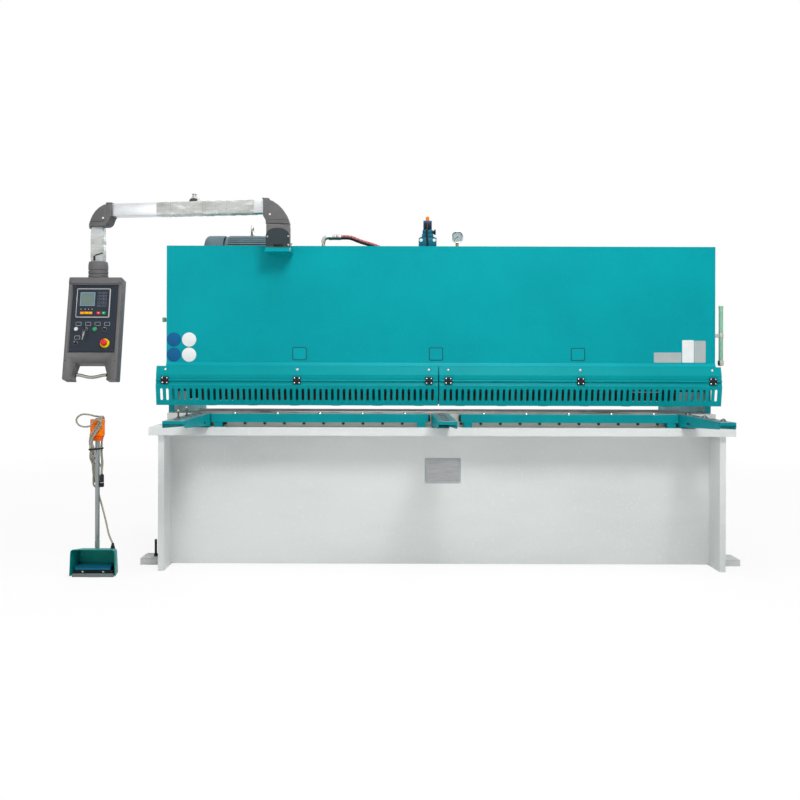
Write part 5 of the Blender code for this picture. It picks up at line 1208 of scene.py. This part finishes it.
def outer_elbow():
    """The elbow over the drop tube, with a raised field on its front."""
    made = Shape("drop_elbow_body", "pendant_arm", ARM)
    front = -0.0450
    rear = 0.0350
    field_front = front - 0.0012
    curve = [(-0.9990, 0.0100), (-0.9975, 0.0240), (-0.9915, 0.0420), (-0.9801, 0.0660), (-0.9634, 0.0890),
             (-0.9434, 0.1070), (-0.9207, 0.1190), (-0.9008, 0.1250)]
    heel = arc((-0.9240, 0.0420), 0.0310, 270, 345, 5)
    outline = ([(-0.9930, DROP_LOW)] + heel + [(-0.8850, 0.0560), (-0.8800, 0.0590), (-0.8800, 0.1270)]
               + curve[::-1])
    made.prism(CAST_GREY, outline, "Y", front, rear, 0.004, 3)
    made.prism(CAST_GREY, [(-0.9985, 0.0120), (-0.9960, -0.0010), (-0.9905, -0.0010), (-0.9860, 0.0130)], "Y",
               front + 0.001, rear - 0.001, 0.0015)
    field = [(-0.9855, 0.0365), (-0.9180, 0.0365), (-0.9080, 0.0440), (-0.9040, 0.0560), (-0.9040, 0.1190),
             (-0.9207, 0.1130), (-0.9434, 0.1010), (-0.9620, 0.0840), (-0.9770, 0.0620)]
    made.prism(CAST_GREY, field, "Y", field_front, front + 0.001, 0.0009)
    # A thin dark line along the raised field's lower edge: painted shade.
    made.box(CAST_DARK, (-0.9860, -0.9170), (-0.0458, -0.0445), (0.0340, 0.0356), 0.0002)
    made.box(CAST_DARK, (-0.9100, -0.8795), (-0.0350, 0.0300), (0.1260, 0.1330), 0.002)
    screw_head(made, -0.9190, field_front, 0.0520, 0.0055)
    made.done(["drop_elbow"])


def arm_tube():
    """Square aluminium tube, bare at both ends, with stretch film wound round it and twisted off on top."""
    made = Shape("arm_tube_wrapped", "pendant_arm", ARM)
    made.box(BARE_ALUMINIUM, (-TUBE_FAR, -TUBE_NEAR), (-TUBE_HALF, TUBE_HALF), (TUBE_LOW, TUBE_HIGH), 0.002)
    rng = random.Random(7)
    solid = bmesh.new()
    rings = []
    count = 104
    turns = 9.0
    film = 0.0008
    section = rounded(around(0, TUBE_HALF + film), (TUBE_LOW - film, TUBE_HIGH + film), 0.004, 3)
    corners = []
    for (a0, b0), (a1, b1) in zip(section, section[1:] + section[:1]):
        parts = max(1, round(hypot(a1 - a0, b1 - b0) / 0.008))
        corners += [(a0 + (a1 - a0) * k / parts, b0 + (b1 - b0) * k / parts) for k in range(parts)]
    middle_z = (TUBE_LOW + TUBE_HIGH) / 2
    for k in range(count + 1):
        share = k / count
        x = -FILM_FROM + (FILM_FROM - FILM_TO) * share
        lap = 0.0010 * ((share * turns) % 1.0 > 0.5)
        ring = []
        for a, b in corners:
            wave = noise.noise(Vector((x * 24.0, a * 30.0 + b * 16.0, 3.0)))
            crease = noise.noise(Vector((x * 60.0 + b * 70.0, a * 20.0, 9.0)))
            rise = 1.0 + (lap + 0.0011 * max(wave, -0.2) + 0.0007 * max(crease, -0.1)) / TUBE_HALF
            skew = 0.0015 * wave
            ring.append(solid.verts.new((x + skew, a * rise, middle_z + (b - middle_z) * rise)))
        rings.append(ring)
    made.add(skin(solid, rings), FILM)
    roll = 0.0030
    for start, end in ((-0.560, -0.553), (-0.388, -0.3815), (-0.246, -0.240)):
        made.box(FILM, (start, end), around(0, TUBE_HALF + roll), (TUBE_LOW - roll, TUBE_HIGH + roll), 0.0028)
    knot = bmesh.new()
    rings = []
    steps = 14
    sides = 22
    pleats = 7
    for k in range(steps + 1):
        share = k / steps
        radius = 0.030 * (1 - share) ** 1.6 + 0.0050 + 0.004 * (share > 0.9)
        ring = []
        for n in range(sides):
            angle = 2 * pi * n / sides + share * 2.2
            pleat = 1.0 + 0.22 * sin(pleats * angle) * min(1.0, 2 * share + 0.2) + rng.uniform(-0.05, 0.05)
            x = -KNOT_AT + radius * 1.35 * pleat * cos(angle) - 0.008 * share
            y = radius * 0.92 * pleat * sin(angle)
            ring.append(knot.verts.new((x, y, TUBE_HIGH - 0.003 + 0.047 * share)))
        rings.append(ring)
    made.add(skin(knot, rings), FILM)
    made.prism(FILM_SHADE, arc((-KNOT_AT - 0.001, TUBE_HIGH + 0.008), 0.022, 0, 360, 20, 0.010)[:-1], "Y",
               -0.0285, -0.0262, 0.0006)
    made.done(["arm_tube"], 50)


def drop_tube():
    """Square tube in film, with a black cable clip."""
    drop = middle("drop_tube")
    low, high = box("drop_tube")
    half = (high.x - low.x) / 2
    made = Shape("drop_tube_body", "pendant")
    top = PIVOT.z + DROP_LOW - SEAT
    made.box(DROP_ALUMINIUM, around(drop.x, half), around(drop.y, half), (low.z, top), 0.003)
    wrapped = half + 0.0008
    for lap in ((1.5600, 1.6350), (1.6340, 1.6760)):
        made.box(FILM, around(drop.x, wrapped), around(drop.y, wrapped), lap, 0.003)
    tilt = turned_to((drop.x + 0.004, drop.y, 1.5800), -17, "Y")
    made.box(BLACK, (-0.012, half - 0.001), (-half - 0.0030, -half + 0.001), (-0.0030, 0.0030), 0.001,
             at=tilt)
    made.box(BLACK, (drop.x - 0.016, drop.x - 0.006), (drop.y - half - 0.0040, drop.y - half + 0.001),
             (1.5500, 1.5740), 0.0015)
    made.done(["drop_tube"])


def neck():
    """Round neck with two grooves, under the drop tube."""
    drop = middle("drop_tube")
    low, high = box("pendant_neck")
    made = Shape("neck_body", "pendant")
    top = high.z
    profile = [(0.046, top), (0.0475, top - 0.004), (0.050, top - 0.020)]
    for z in (1.5005, 1.4800):
        profile += [(0.050, z + 0.0035), (0.0488, z + 0.0022), (0.0470, z + 0.0012), (0.0470, z - 0.0012),
                    (0.0488, z - 0.0022), (0.050, z - 0.0035)]
    profile += [(0.050, low.z + 0.003), (0.0485, low.z)]
    made.turned(CAST_GREY, profile[::-1], "Z", (drop.x, drop.y, 0), 64)
    made.done(["pendant_neck"])


arm_base()
base_elbow()
outer_elbow()
arm_tube()
drop_tube()
neck()


# Pendant, in its own leaning frame: x to the right, z up from the housing's top edge
NECK = middle("pendant_neck")
HALF_DEPTH = PENDANT_DEPTH / 2
PENDANT = (
    MACHINE
    @ Matrix.Translation((NECK.x, NECK.y - 0.005, box("pendant_neck")[0].z - SEAT
                          - HALF_DEPTH * sin(radians(PENDANT_TILT))))
    @ Matrix.Rotation(radians(-PENDANT_TILT), 4, "X")
)
PENDANT_WIDTH = 0.274
PENDANT_HEIGHT = 0.534
PANEL_FACE = -0.0308
PANEL_TOP = -0.0395
PANEL_LOW = -0.390
PANEL_HALF = 0.1135
STOP_DROP = 0.345        # the stop button's row, below the housing's top edge


def key_cap(made, finish, x, drop, width, height, front, rise=0.0022):
    """A low rounded key on a flat face."""
    outline = rounded(around(x, width / 2), around(-drop, height / 2), 0.0018)
    made.prism(finish, outline, "Y", front - rise, front, 0.0006)


def blank_plate(made, x, drop, front, width=0.028, height=0.019):
    """A legend plate without a legend: a pale rim round a dark field."""
    rim = 0.0016
    outer = rounded(around(x, width / 2), around(-drop, height / 2), 0.002)
    inner = rounded(around(x, width / 2 - rim), around(-drop, height / 2 - rim), 0.001)
    made.prism(LABEL_GREY, outer, "Y", front - 0.0006, front)
    made.prism(PANEL_FILM, inner, "Y", front - 0.0009, front - 0.0005)


def housing():
    """Grey shell with a brow, sloping sides round the sunk panel, and the handle's notch below."""
    made = Shape("pendant_shell", "pendant", PENDANT)
    half = PENDANT_WIDTH / 2
    low = -PENDANT_HEIGHT
    outline = rounded((-half, half), (low, 0.0), 0.0065, 4)
    made.prism(CAST_GREY, outline, "Y", -HALF_DEPTH, HALF_DEPTH, 0.004, 3)
    shell = made.done(["pendant_housing"])
    notch = [(-0.0900, low + 0.022), (-0.0730, low + 0.084), (0.0710, low + 0.084), (0.0900, low + 0.022),
             (0.0850, low), (0.0850, low - 0.02), (-0.0850, low - 0.02), (-0.0850, low)]
    grow = 0.013
    wide = PANEL_HALF + SEAT
    recess = [(-wide - grow, PANEL_LOW - SEAT - grow), (wide + grow, PANEL_LOW - SEAT - grow),
              (wide + grow, PANEL_TOP + SEAT), (-wide - grow, PANEL_TOP + SEAT)]
    deep = [(-wide, PANEL_LOW - SEAT), (wide, PANEL_LOW - SEAT), (wide, PANEL_TOP + SEAT),
            (-wide, PANEL_TOP + SEAT)]
    carve(shell, [prism(notch, "Y", -HALF_DEPTH - 0.02, HALF_DEPTH + 0.02),
                  prism(recess, "Y", -HALF_DEPTH - 0.011, -HALF_DEPTH + 0.011, deep)])

    trim = Shape("pendant_trim", "pendant", PENDANT)
    brow = [(-half + 0.001, PANEL_TOP + 0.006), (half - 0.001, PANEL_TOP + 0.006), (half - 0.001, -0.012),
            (half - 0.004, 0.0), (-half + 0.004, 0.0), (-half + 0.001, -0.012)]
    trim.prism(CAST_GREY, brow, "Y", -HALF_DEPTH - 0.0055, -HALF_DEPTH + 0.004, 0.0025, 3)
    for x in (-half + 0.012, half - 0.012):
        for z in (PANEL_LOW - 0.045, -0.026):
            front = -HALF_DEPTH - (0.0055 if z > -0.1 else 0.0)
            trim.turned(CAST_DARK,
                        [(0.0032, front + 0.0006), (0.0032, front - 0.0003), (0.0016, front - 0.0004)],
                        "Y", (x, 0, z), 16)
    trim.prism(CAST_DARK, rounded((-half + 0.003, half - 0.003), (low + 0.088, -0.003), 0.010), "Y",
               HALF_DEPTH - 0.001, HALF_DEPTH + 0.002, 0.001)
    for x in (-half + 0.018, half - 0.018):
        for z in (-0.030, -0.240, low + 0.098):
            trim.turned(ZINC,
                        [(0.0045, HALF_DEPTH + 0.002), (0.0045, HALF_DEPTH + 0.004),
                         (0.002, HALF_DEPTH + 0.0045)], "Y", (x, 0, z), 20)
    trim.done()


def handle():
    """Chromed bar across the notch, bowed downwards, with collars at its ends."""
    low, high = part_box("pendant_handle")
    reach = (high.x - low.x) / 2 + 0.010
    made = Shape("handle_bar", "pendant", PENDANT)
    z = 0.031 - PENDANT_HEIGHT
    points = []
    for k in range(41):
        x = -reach + 0.0002 + (2 * reach - 0.0004) * k / 40
        share = min(1.0, abs(x) / (reach * 0.9))
        points.append((x, 0.0, z - 0.012 * (1 - share**2) ** 2))
    made.tube(HANDLE_CHROME, points, 0.0084, 20)
    for way in (-1, 1):
        made.turned(CAST_DARK, [(0.0095, way * (reach - 0.0002)), (0.0090, way * (reach - 0.004))], "X",
                    (0, 0, z), 24)
    made.done(["pendant_handle"])


def panel():
    """Dark operating panel with its switches and blank legend plates."""
    made = Shape("panel_board", "pendant", PENDANT)
    made.box(PANEL_DARK, (-PANEL_HALF, PANEL_HALF), (PANEL_FACE, PANEL_FACE + 0.005), (PANEL_LOW, PANEL_TOP),
             0.0008)
    margin = 0.004
    face = PANEL_FACE - 0.0004
    sheet = rounded(around(0, PANEL_HALF - margin), (PANEL_LOW + margin, PANEL_TOP - margin), margin)
    made.prism(PANEL_FILM, sheet, "Y", face, PANEL_FACE + 0.0002)
    for x in (-0.074, -0.0252, 0.0228, 0.0716):
        blank_plate(made, x, 0.244, face)
    blank_plate(made, -0.076, STOP_DROP - 0.029, face)
    drop = 0.272
    key_x = -0.036
    for x, at_drop in ((-0.083, drop), (key_x, drop), (0.011, drop), (0.060, drop), (-0.082, STOP_DROP)):
        made.turned(SWITCH_RIM, [(0.0125, face), (0.0125, face - 0.002), (0.0112, face - 0.0038),
                                 (0.0096, face - 0.0040)], "Y", (x, 0, -at_drop), 36)
    for finish, x in ((PALE_PLASTIC, -0.083), (GREEN, 0.011)):
        made.turned(finish, [(0.0094, face - 0.003), (0.0094, face - 0.0085), (0.0086, face - 0.0100)], "Y",
                    (x, 0, -drop), 32)
    made.turned(DARK_STEEL, [(0.0088, face - 0.003), (0.0088, face - 0.0080), (0.0078, face - 0.0090)], "Y",
                (key_x, 0, -drop), 32)
    key_face = face - 0.029
    # The keyway is a thin black box on the cylinder: painted shade for its slot.
    made.box(BLACK, around(key_x, 0.0006), (face - 0.0094, face - 0.0088), around(-drop, 0.0042), 0.0002)
    made.box(FERRULE, around(key_x, 0.0006), (face - 0.0200, face - 0.0088), around(-drop, 0.0038), 0.0004)
    grip = rounded(around(key_x, 0.0014), (-drop - 0.0125, -drop + 0.0085), 0.0012)
    made.prism(BLACK, grip, "Y", key_face - 0.004, key_face + 0.010, 0.0008)
    ring = [(x, key_face, z) for x, z in arc((key_x, -drop - 0.0150), 0.0062, 90, -270, 18)]
    made.tube(FERRULE, ring, 0.0007, 8)
    hang = turned_to((key_x + 0.0015, key_face, -drop - 0.0200), 9, "Y")
    made.prism(FERRULE, [(-0.0045, -0.0220), (0.0045, -0.0220), (0.0045, 0.0), (-0.0045, 0.0)], "Y",
               -0.0006, 0.0006, 0.0003, at=hang)
    made.box(FERRULE, (-0.0026, 0.0026), (-0.0006, 0.0006), (-0.0420, -0.0215), 0.0003, at=hang)
    for x, at_drop, turn in ((0.060, drop, 30), (-0.082, STOP_DROP, -28)):
        made.turned(BLACK, [(0.0094, face - 0.003), (0.0094, face - 0.0070)], "Y", (x, 0, -at_drop), 32)
        knob = turned_to((x, 0, -at_drop), turn, "Y")
        made.box(BLACK, (-0.0032, 0.0032), (face - 0.0150, face - 0.0065), (-0.0092, 0.0092), 0.0012, at=knob)
        made.box(PALE_PLASTIC, (-0.0009, 0.0009), (face - 0.0153, face - 0.0145), (0.0015, 0.0085), 0.0002,
                 at=knob)
    for x in (-0.105, 0.105):
        for z in (PANEL_LOW + 0.009, PANEL_TOP - 0.007):
            made.dome(DARK_STEEL, 0.0026, 0.0012, "Y", (x, face, z))
    made.done(["pendant_panel"])


def controller():
    """Framed controller with a blank screen and plain keys."""
    made = Shape("controller_front", "pendant", PENDANT)
    back = PANEL_FACE - SEAT
    front = back - 0.0080
    x = (-0.091, 0.081)
    z = (-0.2125, -0.0590)
    rim = 0.0045
    made.prism(FRAME_GREY, rounded(x, z, 0.006), "Y", front, back, 0.0018, 3)
    field = rounded((x[0] + rim, x[1] - rim), (z[0] + rim, z[1] - rim), 0.003)
    made.prism(PANEL_FILM, field, "Y", front - 0.0006, front + 0.0002)
    face = front - 0.0006
    screen_x = -0.0338
    made.prism(SCREEN_RIM, rounded(around(screen_x, 0.0375), (-0.1515, -0.0805), 0.0025), "Y",
               face - 0.0005, face)
    made.prism(SCREEN, rounded(around(screen_x, 0.0350), (-0.1489, -0.0832), 0.0015), "Y",
               face - 0.0009, face - 0.0004)
    for dot_x in (-0.0648, -0.0431, -0.0263, -0.0070):
        made.dome(PALE_PLASTIC, 0.0022, 0.0008, "Y", (dot_x, face, -0.1690))
    lowest_row = 0.189
    for key_x in (-0.0572, -0.0363, -0.0154):
        key_cap(made, ORANGE_KEY, key_x, lowest_row, 0.0192, 0.0125, face)
    for key_x, finish in ((0.0262, RED), (0.0527, GREEN)):
        key_cap(made, finish, key_x, lowest_row, 0.0185, 0.0135, face)
        made.dome(PALE_PLASTIC, 0.0028, 0.0006, "Y", (key_x, face - 0.0022, -lowest_row))
    for key_x in (0.0242, 0.0416, 0.0565):
        for key_drop in (0.0833, 0.1005, 0.1171, 0.1343, 0.1509):
            key_cap(made, KEY_RIM, key_x, key_drop, 0.0125, 0.0105, face, 0.0008)
            key_cap(made, PANEL_DARK, key_x, key_drop, 0.0107, 0.0087, face - 0.0004, 0.0007)
    made.done(["controller"])


def stop_button():
    """Red mushroom button on a yellow disc."""
    made = Shape("stop_button", "pendant", PENDANT)
    seat = PANEL_FACE - SEAT
    x = 0.066
    drop = STOP_DROP
    made.turned(YELLOW, [(0.0235, seat), (0.0235, seat - 0.0030), (0.0228, seat - 0.0036)], "Y",
                (x, 0, -drop), 48)
    made.turned(BLACK, [(0.0122, seat - 0.0030), (0.0122, seat - 0.0100), (0.0108, seat - 0.0150)], "Y",
                (x, 0, -drop), 32)
    made.turned(RED, [(0.0112, seat - 0.0140), (0.0160, seat - 0.0185), (0.0165, seat - 0.0215),
                      (0.0160, seat - 0.0270), (0.0140, seat - 0.0315), (0.0100, seat - 0.0335),
                      (0.0040, seat - 0.0340)], "Y", (x, 0, -drop), 48)
    made.done(["emergency_stop"])


housing()
handle()
panel()
controller()
stop_button()


# Foot pedal
PEDAL_X = middle("pedal_hood").x
HOOD_LOW, HOOD_HIGH = box("pedal_hood")
HOOD_SHEET = 0.003
HOOD_BOTTOM = (0.2215, 0.191)    # widths and heights at the hood's front and at its rear
HOOD_TOP = (0.213, 0.181)
HOOD_HEIGHT = (0.133, 0.121)
TREAD_PIN = (0, -0.040, 0.045)


def hood_section(share, grow, low, corner):
    """The hood's outline at a share of its depth, with rounded upper corners."""
    bottom, top, height = (a + (b - a) * share for a, b in (HOOD_BOTTOM, HOOD_TOP, HOOD_HEIGHT))
    bottom = bottom / 2 + grow
    top = top / 2 + grow
    height += grow
    outline = [(PEDAL_X - bottom, low), (PEDAL_X + bottom, low)]
    outline += arc((PEDAL_X + top - corner, height - corner), corner, 3, 90, 7)
    outline += arc((PEDAL_X - top + corner, height - corner), corner, 90, 177, 7)
    return outline


def hood():
    """Tapered sheet hood, open in front, with a lighter sheet on its rear wall: painted light inside the
    shaded hood.
    """
    front = HOOD_LOW.y
    depth = HOOD_HIGH.y - HOOD_LOW.y
    sheet = HOOD_SHEET
    made = Shape("hood_shell")
    made.prism(PEDAL_GREEN, hood_section(0.0, 0.0, HOOD_LOW.z, 0.016), "Y", front, front + depth, 0.0012, 2,
               far=hood_section(1.0, 0.0, HOOD_LOW.z, 0.016))
    shell = made.done(["pedal_hood"])
    inner = prism(hood_section(-0.2, -sheet, -0.02, 0.013), "Y", front - 0.2 * depth, front + depth - sheet,
                  hood_section(1 - sheet / depth, -sheet, -0.02, 0.013))
    carve(shell, [inner])

    # A lighter sheet on the hood's rear wall, painted light where the inside lies in shade.
    made = Shape("hood_painted_light")
    rear = HOOD_HIGH.y - sheet - 0.0004
    made.prism(PEDAL_INSIDE_LIT, hood_section(0.955, -sheet - 0.0008, 0.040, 0.012), "Y", rear - 0.0016, rear)
    made.done()


def pedal_base():
    """Tray under the hood, with a lip in front and the tongue that carries the pole."""
    low, high = box("pedal_base")
    made = Shape("base_tray")
    inside = HOOD_HIGH.y - HOOD_SHEET - SEAT
    plan = [(PEDAL_X - 0.100, low.y), (PEDAL_X + 0.100, low.y), (PEDAL_X + 0.0915, inside),
            (PEDAL_X - 0.0915, inside)]
    made.prism(PEDAL_GREY, plan, "Z", 0.0, high.z, 0.002)
    pole = middle("pedal_pole")
    made.box(PEDAL_GREY, around(pole.x, 0.045), (inside - 0.03, high.y), (0.0, 0.0045), 0.001)
    made.box(PEDAL_GREY, (PEDAL_X - 0.020, PEDAL_X + 0.030), (low.y - 0.0015, low.y + 0.004), (0.0, 0.007),
             0.001)
    made.done(["pedal_base"])


def switch_box():
    """Black switch body with the two cheeks that hold the tread's pin."""
    low, high = box("pedal_switch_box")
    top = 0.030
    made = Shape("switch_body")
    plan = [(PEDAL_X - 0.095, low.y), (PEDAL_X + 0.095, low.y), (PEDAL_X + 0.088, high.y),
            (PEDAL_X - 0.088, high.y)]
    made.prism(BLACK, plan, "Z", low.z, top, 0.002)
    for way in (-1, 1):
        x = (PEDAL_X + way * 0.0856, PEDAL_X + way * 0.0906)
        made.box(BLACK, (min(x), max(x)), (-0.048, -0.032), (low.z + 0.002, high.z), 0.001)
        made.rod(ZINC, 0.0035, "X", TREAD_PIN, PEDAL_X + way * 0.0858, PEDAL_X + way * 0.0918, 16)
    for x in (-0.052, 0.047):
        made.turned(ZINC, [(0.0048, low.y + 0.0005), (0.0048, low.y - 0.0015), (0.0025, low.y - 0.0026)], "Y",
                    (PEDAL_X + x, 0, 0.0222), 20)
    made.done(["pedal_switch_box"])


def tread():
    """Ribbed tread on its pin."""
    made = Shape("tread_plate", "pedal")
    low, high = box("pedal_tread")
    half = (high.x - low.x) / 2
    top = high.z
    plan = [(PEDAL_X - half, low.y), (PEDAL_X + half, low.y), (PEDAL_X + half, -0.060),
            (PEDAL_X + half - 0.003, high.y), (PEDAL_X - half + 0.003, high.y), (PEDAL_X - half, -0.060)]
    made.prism(TREAD_BLUE, plan, "Z", top - 0.006, top - 0.0014, 0.0008)
    made.box(TREAD_EDGE, around(PEDAL_X, half), (low.y, low.y + 0.005), (low.z, top), 0.0012)
    for k in range(11):
        y = low.y + 0.010 + k * 0.0058
        made.box(TREAD_BLUE, (PEDAL_X - half + 0.006, PEDAL_X + half - 0.006), (y, y + 0.0028),
                 (top - 0.0020, top), 0.0005)
    made.rod(DARK_STEEL, 0.0055, "X", TREAD_PIN, PEDAL_X - half + 0.001, PEDAL_X + half - 0.001, 20)
    made.done(["pedal_tread"])


def pole():
    """Pole with its foot and a painted band at the height of the hood's top."""
    centre = middle("pedal_pole")
    low, high = box("pedal_pole")
    made = Shape("pole_tube")
    made.turned(POLE_STEEL, [(0.011, low.z + 0.002), (0.011, high.z - 0.002), (0.009, high.z)], "Z",
                (centre.x, centre.y, 0), 32)
    made.turned(POLE_STEEL,
                [(0.021, low.z), (0.021, low.z + 0.005), (0.018, low.z + 0.008), (0.0112, low.z + 0.008)],
                "Z", (centre.x, centre.y, 0), 32)
    made.turned(POLE_END, [(0.0114, 0.112), (0.0116, 0.114), (0.0116, 0.140), (0.0114, 0.142)], "Z",
                (centre.x, centre.y, 0), 32)
    made.done(["pedal_pole"])


def holder():
    """Orange cable holder, whose front folds in at the bottom, the fold in a darker orange as painted shade.
    """
    centre = middle("pedal_pole")
    low, high = box("hook_box")
    half = (high.x - low.x) / 2
    fold = 0.6640
    made = Shape("holder")
    made.box(ORANGE, around(centre.x, half), (low.y, high.y), (fold, high.z), 0.0035, 3)
    hole = Shape("hole")
    hole.rod(ORANGE, 0.0058, "Y", (centre.x + 0.013, 0, 0.7240), low.y - 0.01, low.y + 0.006, 24, 0)
    carve(made.done(["hook_box"]), [hole.whole])
    made = Shape("holder_fold")
    taper = [(centre.x - half * 0.66, low.z), (centre.x + half * 0.66, low.z),
             (centre.x + half * 0.95, fold + 0.003), (centre.x - half * 0.95, fold + 0.003)]
    # The fold and the strip under it are darker orange: painted shade, with a painted shadow line just below
    # the fold.
    made.prism(ORANGE_SHADED, taper, "Y", low.y + 0.0030, high.y - 0.0015, 0.0015)
    made.box(ORANGE_SHADED, around(centre.x, half * 0.90), (low.y + 0.0022, low.y + 0.004),
             (fold - 0.0045, fold - 0.0025), 0.0002)
    made.done()


hood()
pedal_base()
switch_box()
tread()
pole()
holder()


def dress_frame():
    """Finishes for the CAD nodes that keep their own shape."""
    repaint(SIDES, "side_plate_left", "side_plate_right")
    repaint(WHITE, "bed_top_plate", "front_apron", "bed_web", "rear_cross_member")
    repaint(TABLE_STEEL, "work_table")
    repaint(TEAL, "front_cover", "arm_bracket", "oil_tank")
    repaint(GUARD_TEAL, "guard_strip_left", "guard_strip_right", "guard_flap_left", "guard_flap_right")
    repaint(ARM_TEAL, "ball_rail_left", "ball_rail_right", "support_arm_left", "support_arm_middle",
            "support_arm_right")
    # The beams inside take the darker teal, which is painted shade.
    repaint(BEAM_TEAL_SHADED, "swing_beam", "hold_down_beam")
    repaint(BLADE, "lower_blade", "upper_blade")
    repaint(STEEL, "back_gauge_bar", "back_gauge_shaft")
    repaint(DARK_STEEL, "back_gauge_arm_left", "back_gauge_arm_right")
    repaint(COVER_DARK, "arm_base_cover")


dress_frame()
jack_bolts()
welds()
table_bolts()
plates()
guard_hinges()
blade_lip()
rail_balls()
arm_tops()


# Floor, light and closing
FLOOR_WHITE = (0.88, 1.0)    # near the object and far from it
FLOOR_FADE = (2.4, 6.5)
WORLD_LIGHT = 0.36


def seen_directly(tree):
    """One for rays from the camera, from glossy surfaces and through clear ones, else nothing."""
    path = tree.nodes.new("ShaderNodeLightPath")
    total = path.outputs["Is Camera Ray"]
    for name in ("Is Glossy Ray", "Is Transmission Ray"):
        step = tree.nodes.new("ShaderNodeMath")
        step.operation = "MAXIMUM"
        tree.links.new(total, step.inputs[0])
        tree.links.new(path.outputs[name], step.inputs[1])
        total = step.outputs["Value"]
    return total


def stage():
    """A pale floor that keeps the object's shadow, seen as plain white by the camera and in reflections."""
    floor = bpy.data.materials.new("floor")
    floor.use_nodes = True
    tree = floor.node_tree
    shader = tree.nodes["Principled BSDF"]
    shader.inputs["Base Color"].default_value = (0.86, 0.86, 0.86, 1.0)
    shader.inputs["Roughness"].default_value = 0.9
    plain_floor = tree.nodes.new("ShaderNodeEmission")
    plain_floor.inputs["Color"].default_value = (1.0, 1.0, 1.0, 1.0)
    reach = tree.nodes.new("ShaderNodeVectorMath")
    reach.operation = "LENGTH"
    tree.links.new(tree.nodes.new("ShaderNodeTexCoord").outputs["Object"], reach.inputs[0])
    fade = tree.nodes.new("ShaderNodeMapRange")
    for key, number in zip(("From Min", "From Max", "To Min", "To Max"), FLOOR_FADE + FLOOR_WHITE):
        fade.inputs[key].default_value = number
    tree.links.new(reach.outputs["Value"], fade.inputs["Value"])
    floor_share = tree.nodes.new("ShaderNodeMath")
    floor_share.operation = "MULTIPLY"
    tree.links.new(fade.outputs["Result"], floor_share.inputs[1])
    blend = tree.nodes.new("ShaderNodeMixShader")
    tree.links.new(seen_directly(tree), floor_share.inputs[0])
    tree.links.new(floor_share.outputs["Value"], blend.inputs["Fac"])
    tree.links.new(shader.outputs["BSDF"], blend.inputs[1])
    tree.links.new(plain_floor.outputs["Emission"], blend.inputs[2])
    tree.links.new(blend.outputs["Shader"], tree.nodes["Material Output"].inputs["Surface"])
    shape = bmesh.new()
    bmesh.ops.create_grid(shape, x_segments=1, y_segments=1, size=30.0)
    mesh = bpy.data.meshes.new("floor")
    shape.to_mesh(mesh)
    shape.free()
    mesh.materials.append(floor)
    made = bpy.data.objects.new("floor", mesh)
    bpy.context.scene.collection.objects.link(made)
    made.location = (0.0, 0.0, -0.001)

    world = bpy.data.worlds.new("studio")
    world.use_nodes = True
    bpy.context.scene.world = world
    nodes = world.node_tree
    plain = nodes.nodes["Background"]
    plain.inputs["Color"].default_value = (1.0, 1.0, 1.0, 1.0)
    plain.inputs["Strength"].default_value = WORLD_LIGHT
    shown = nodes.nodes.new("ShaderNodeBackground")
    shown.inputs["Color"].default_value = (1.0, 1.0, 1.0, 1.0)
    shown.inputs["Strength"].default_value = 1.0
    mix = nodes.nodes.new("ShaderNodeMixShader")
    nodes.links.new(seen_directly(nodes), mix.inputs["Fac"])
    nodes.links.new(plain.outputs["Background"], mix.inputs[1])
    nodes.links.new(shown.outputs["Background"], mix.inputs[2])
    nodes.links.new(mix.outputs["Shader"], nodes.nodes["World Output"].inputs["Surface"])


def lamp(name, place, aim, size, power):
    data = bpy.data.lights.new(name, "AREA")
    data.shape = "DISK"
    data.size = size
    data.energy = power
    made = bpy.data.objects.new(name, data)
    made.location = place
    made.rotation_euler = (Vector(aim) - Vector(place)).to_track_quat("-Z", "Y").to_euler()
    bpy.context.scene.collection.objects.link(made)


def lights():
    lamp("key", (0.9, -4.2, 4.6), (0.15, 0.0, 0.9), 2.0, 150.0)
    lamp("fill", (-3.4, -4.0, 2.4), (0.0, 0.0, 0.9), 3.0, 30.0)
    lamp("top", (0.3, -0.6, 4.6), (0.0, 0.0, 0.5), 3.0, 110.0)
    lamp("back", (0.0, 4.6, 3.4), (0.0, 0.0, 0.9), 3.0, 60.0)
    bpy.context.scene.view_settings.view_transform = "Standard"


stage()
lights()
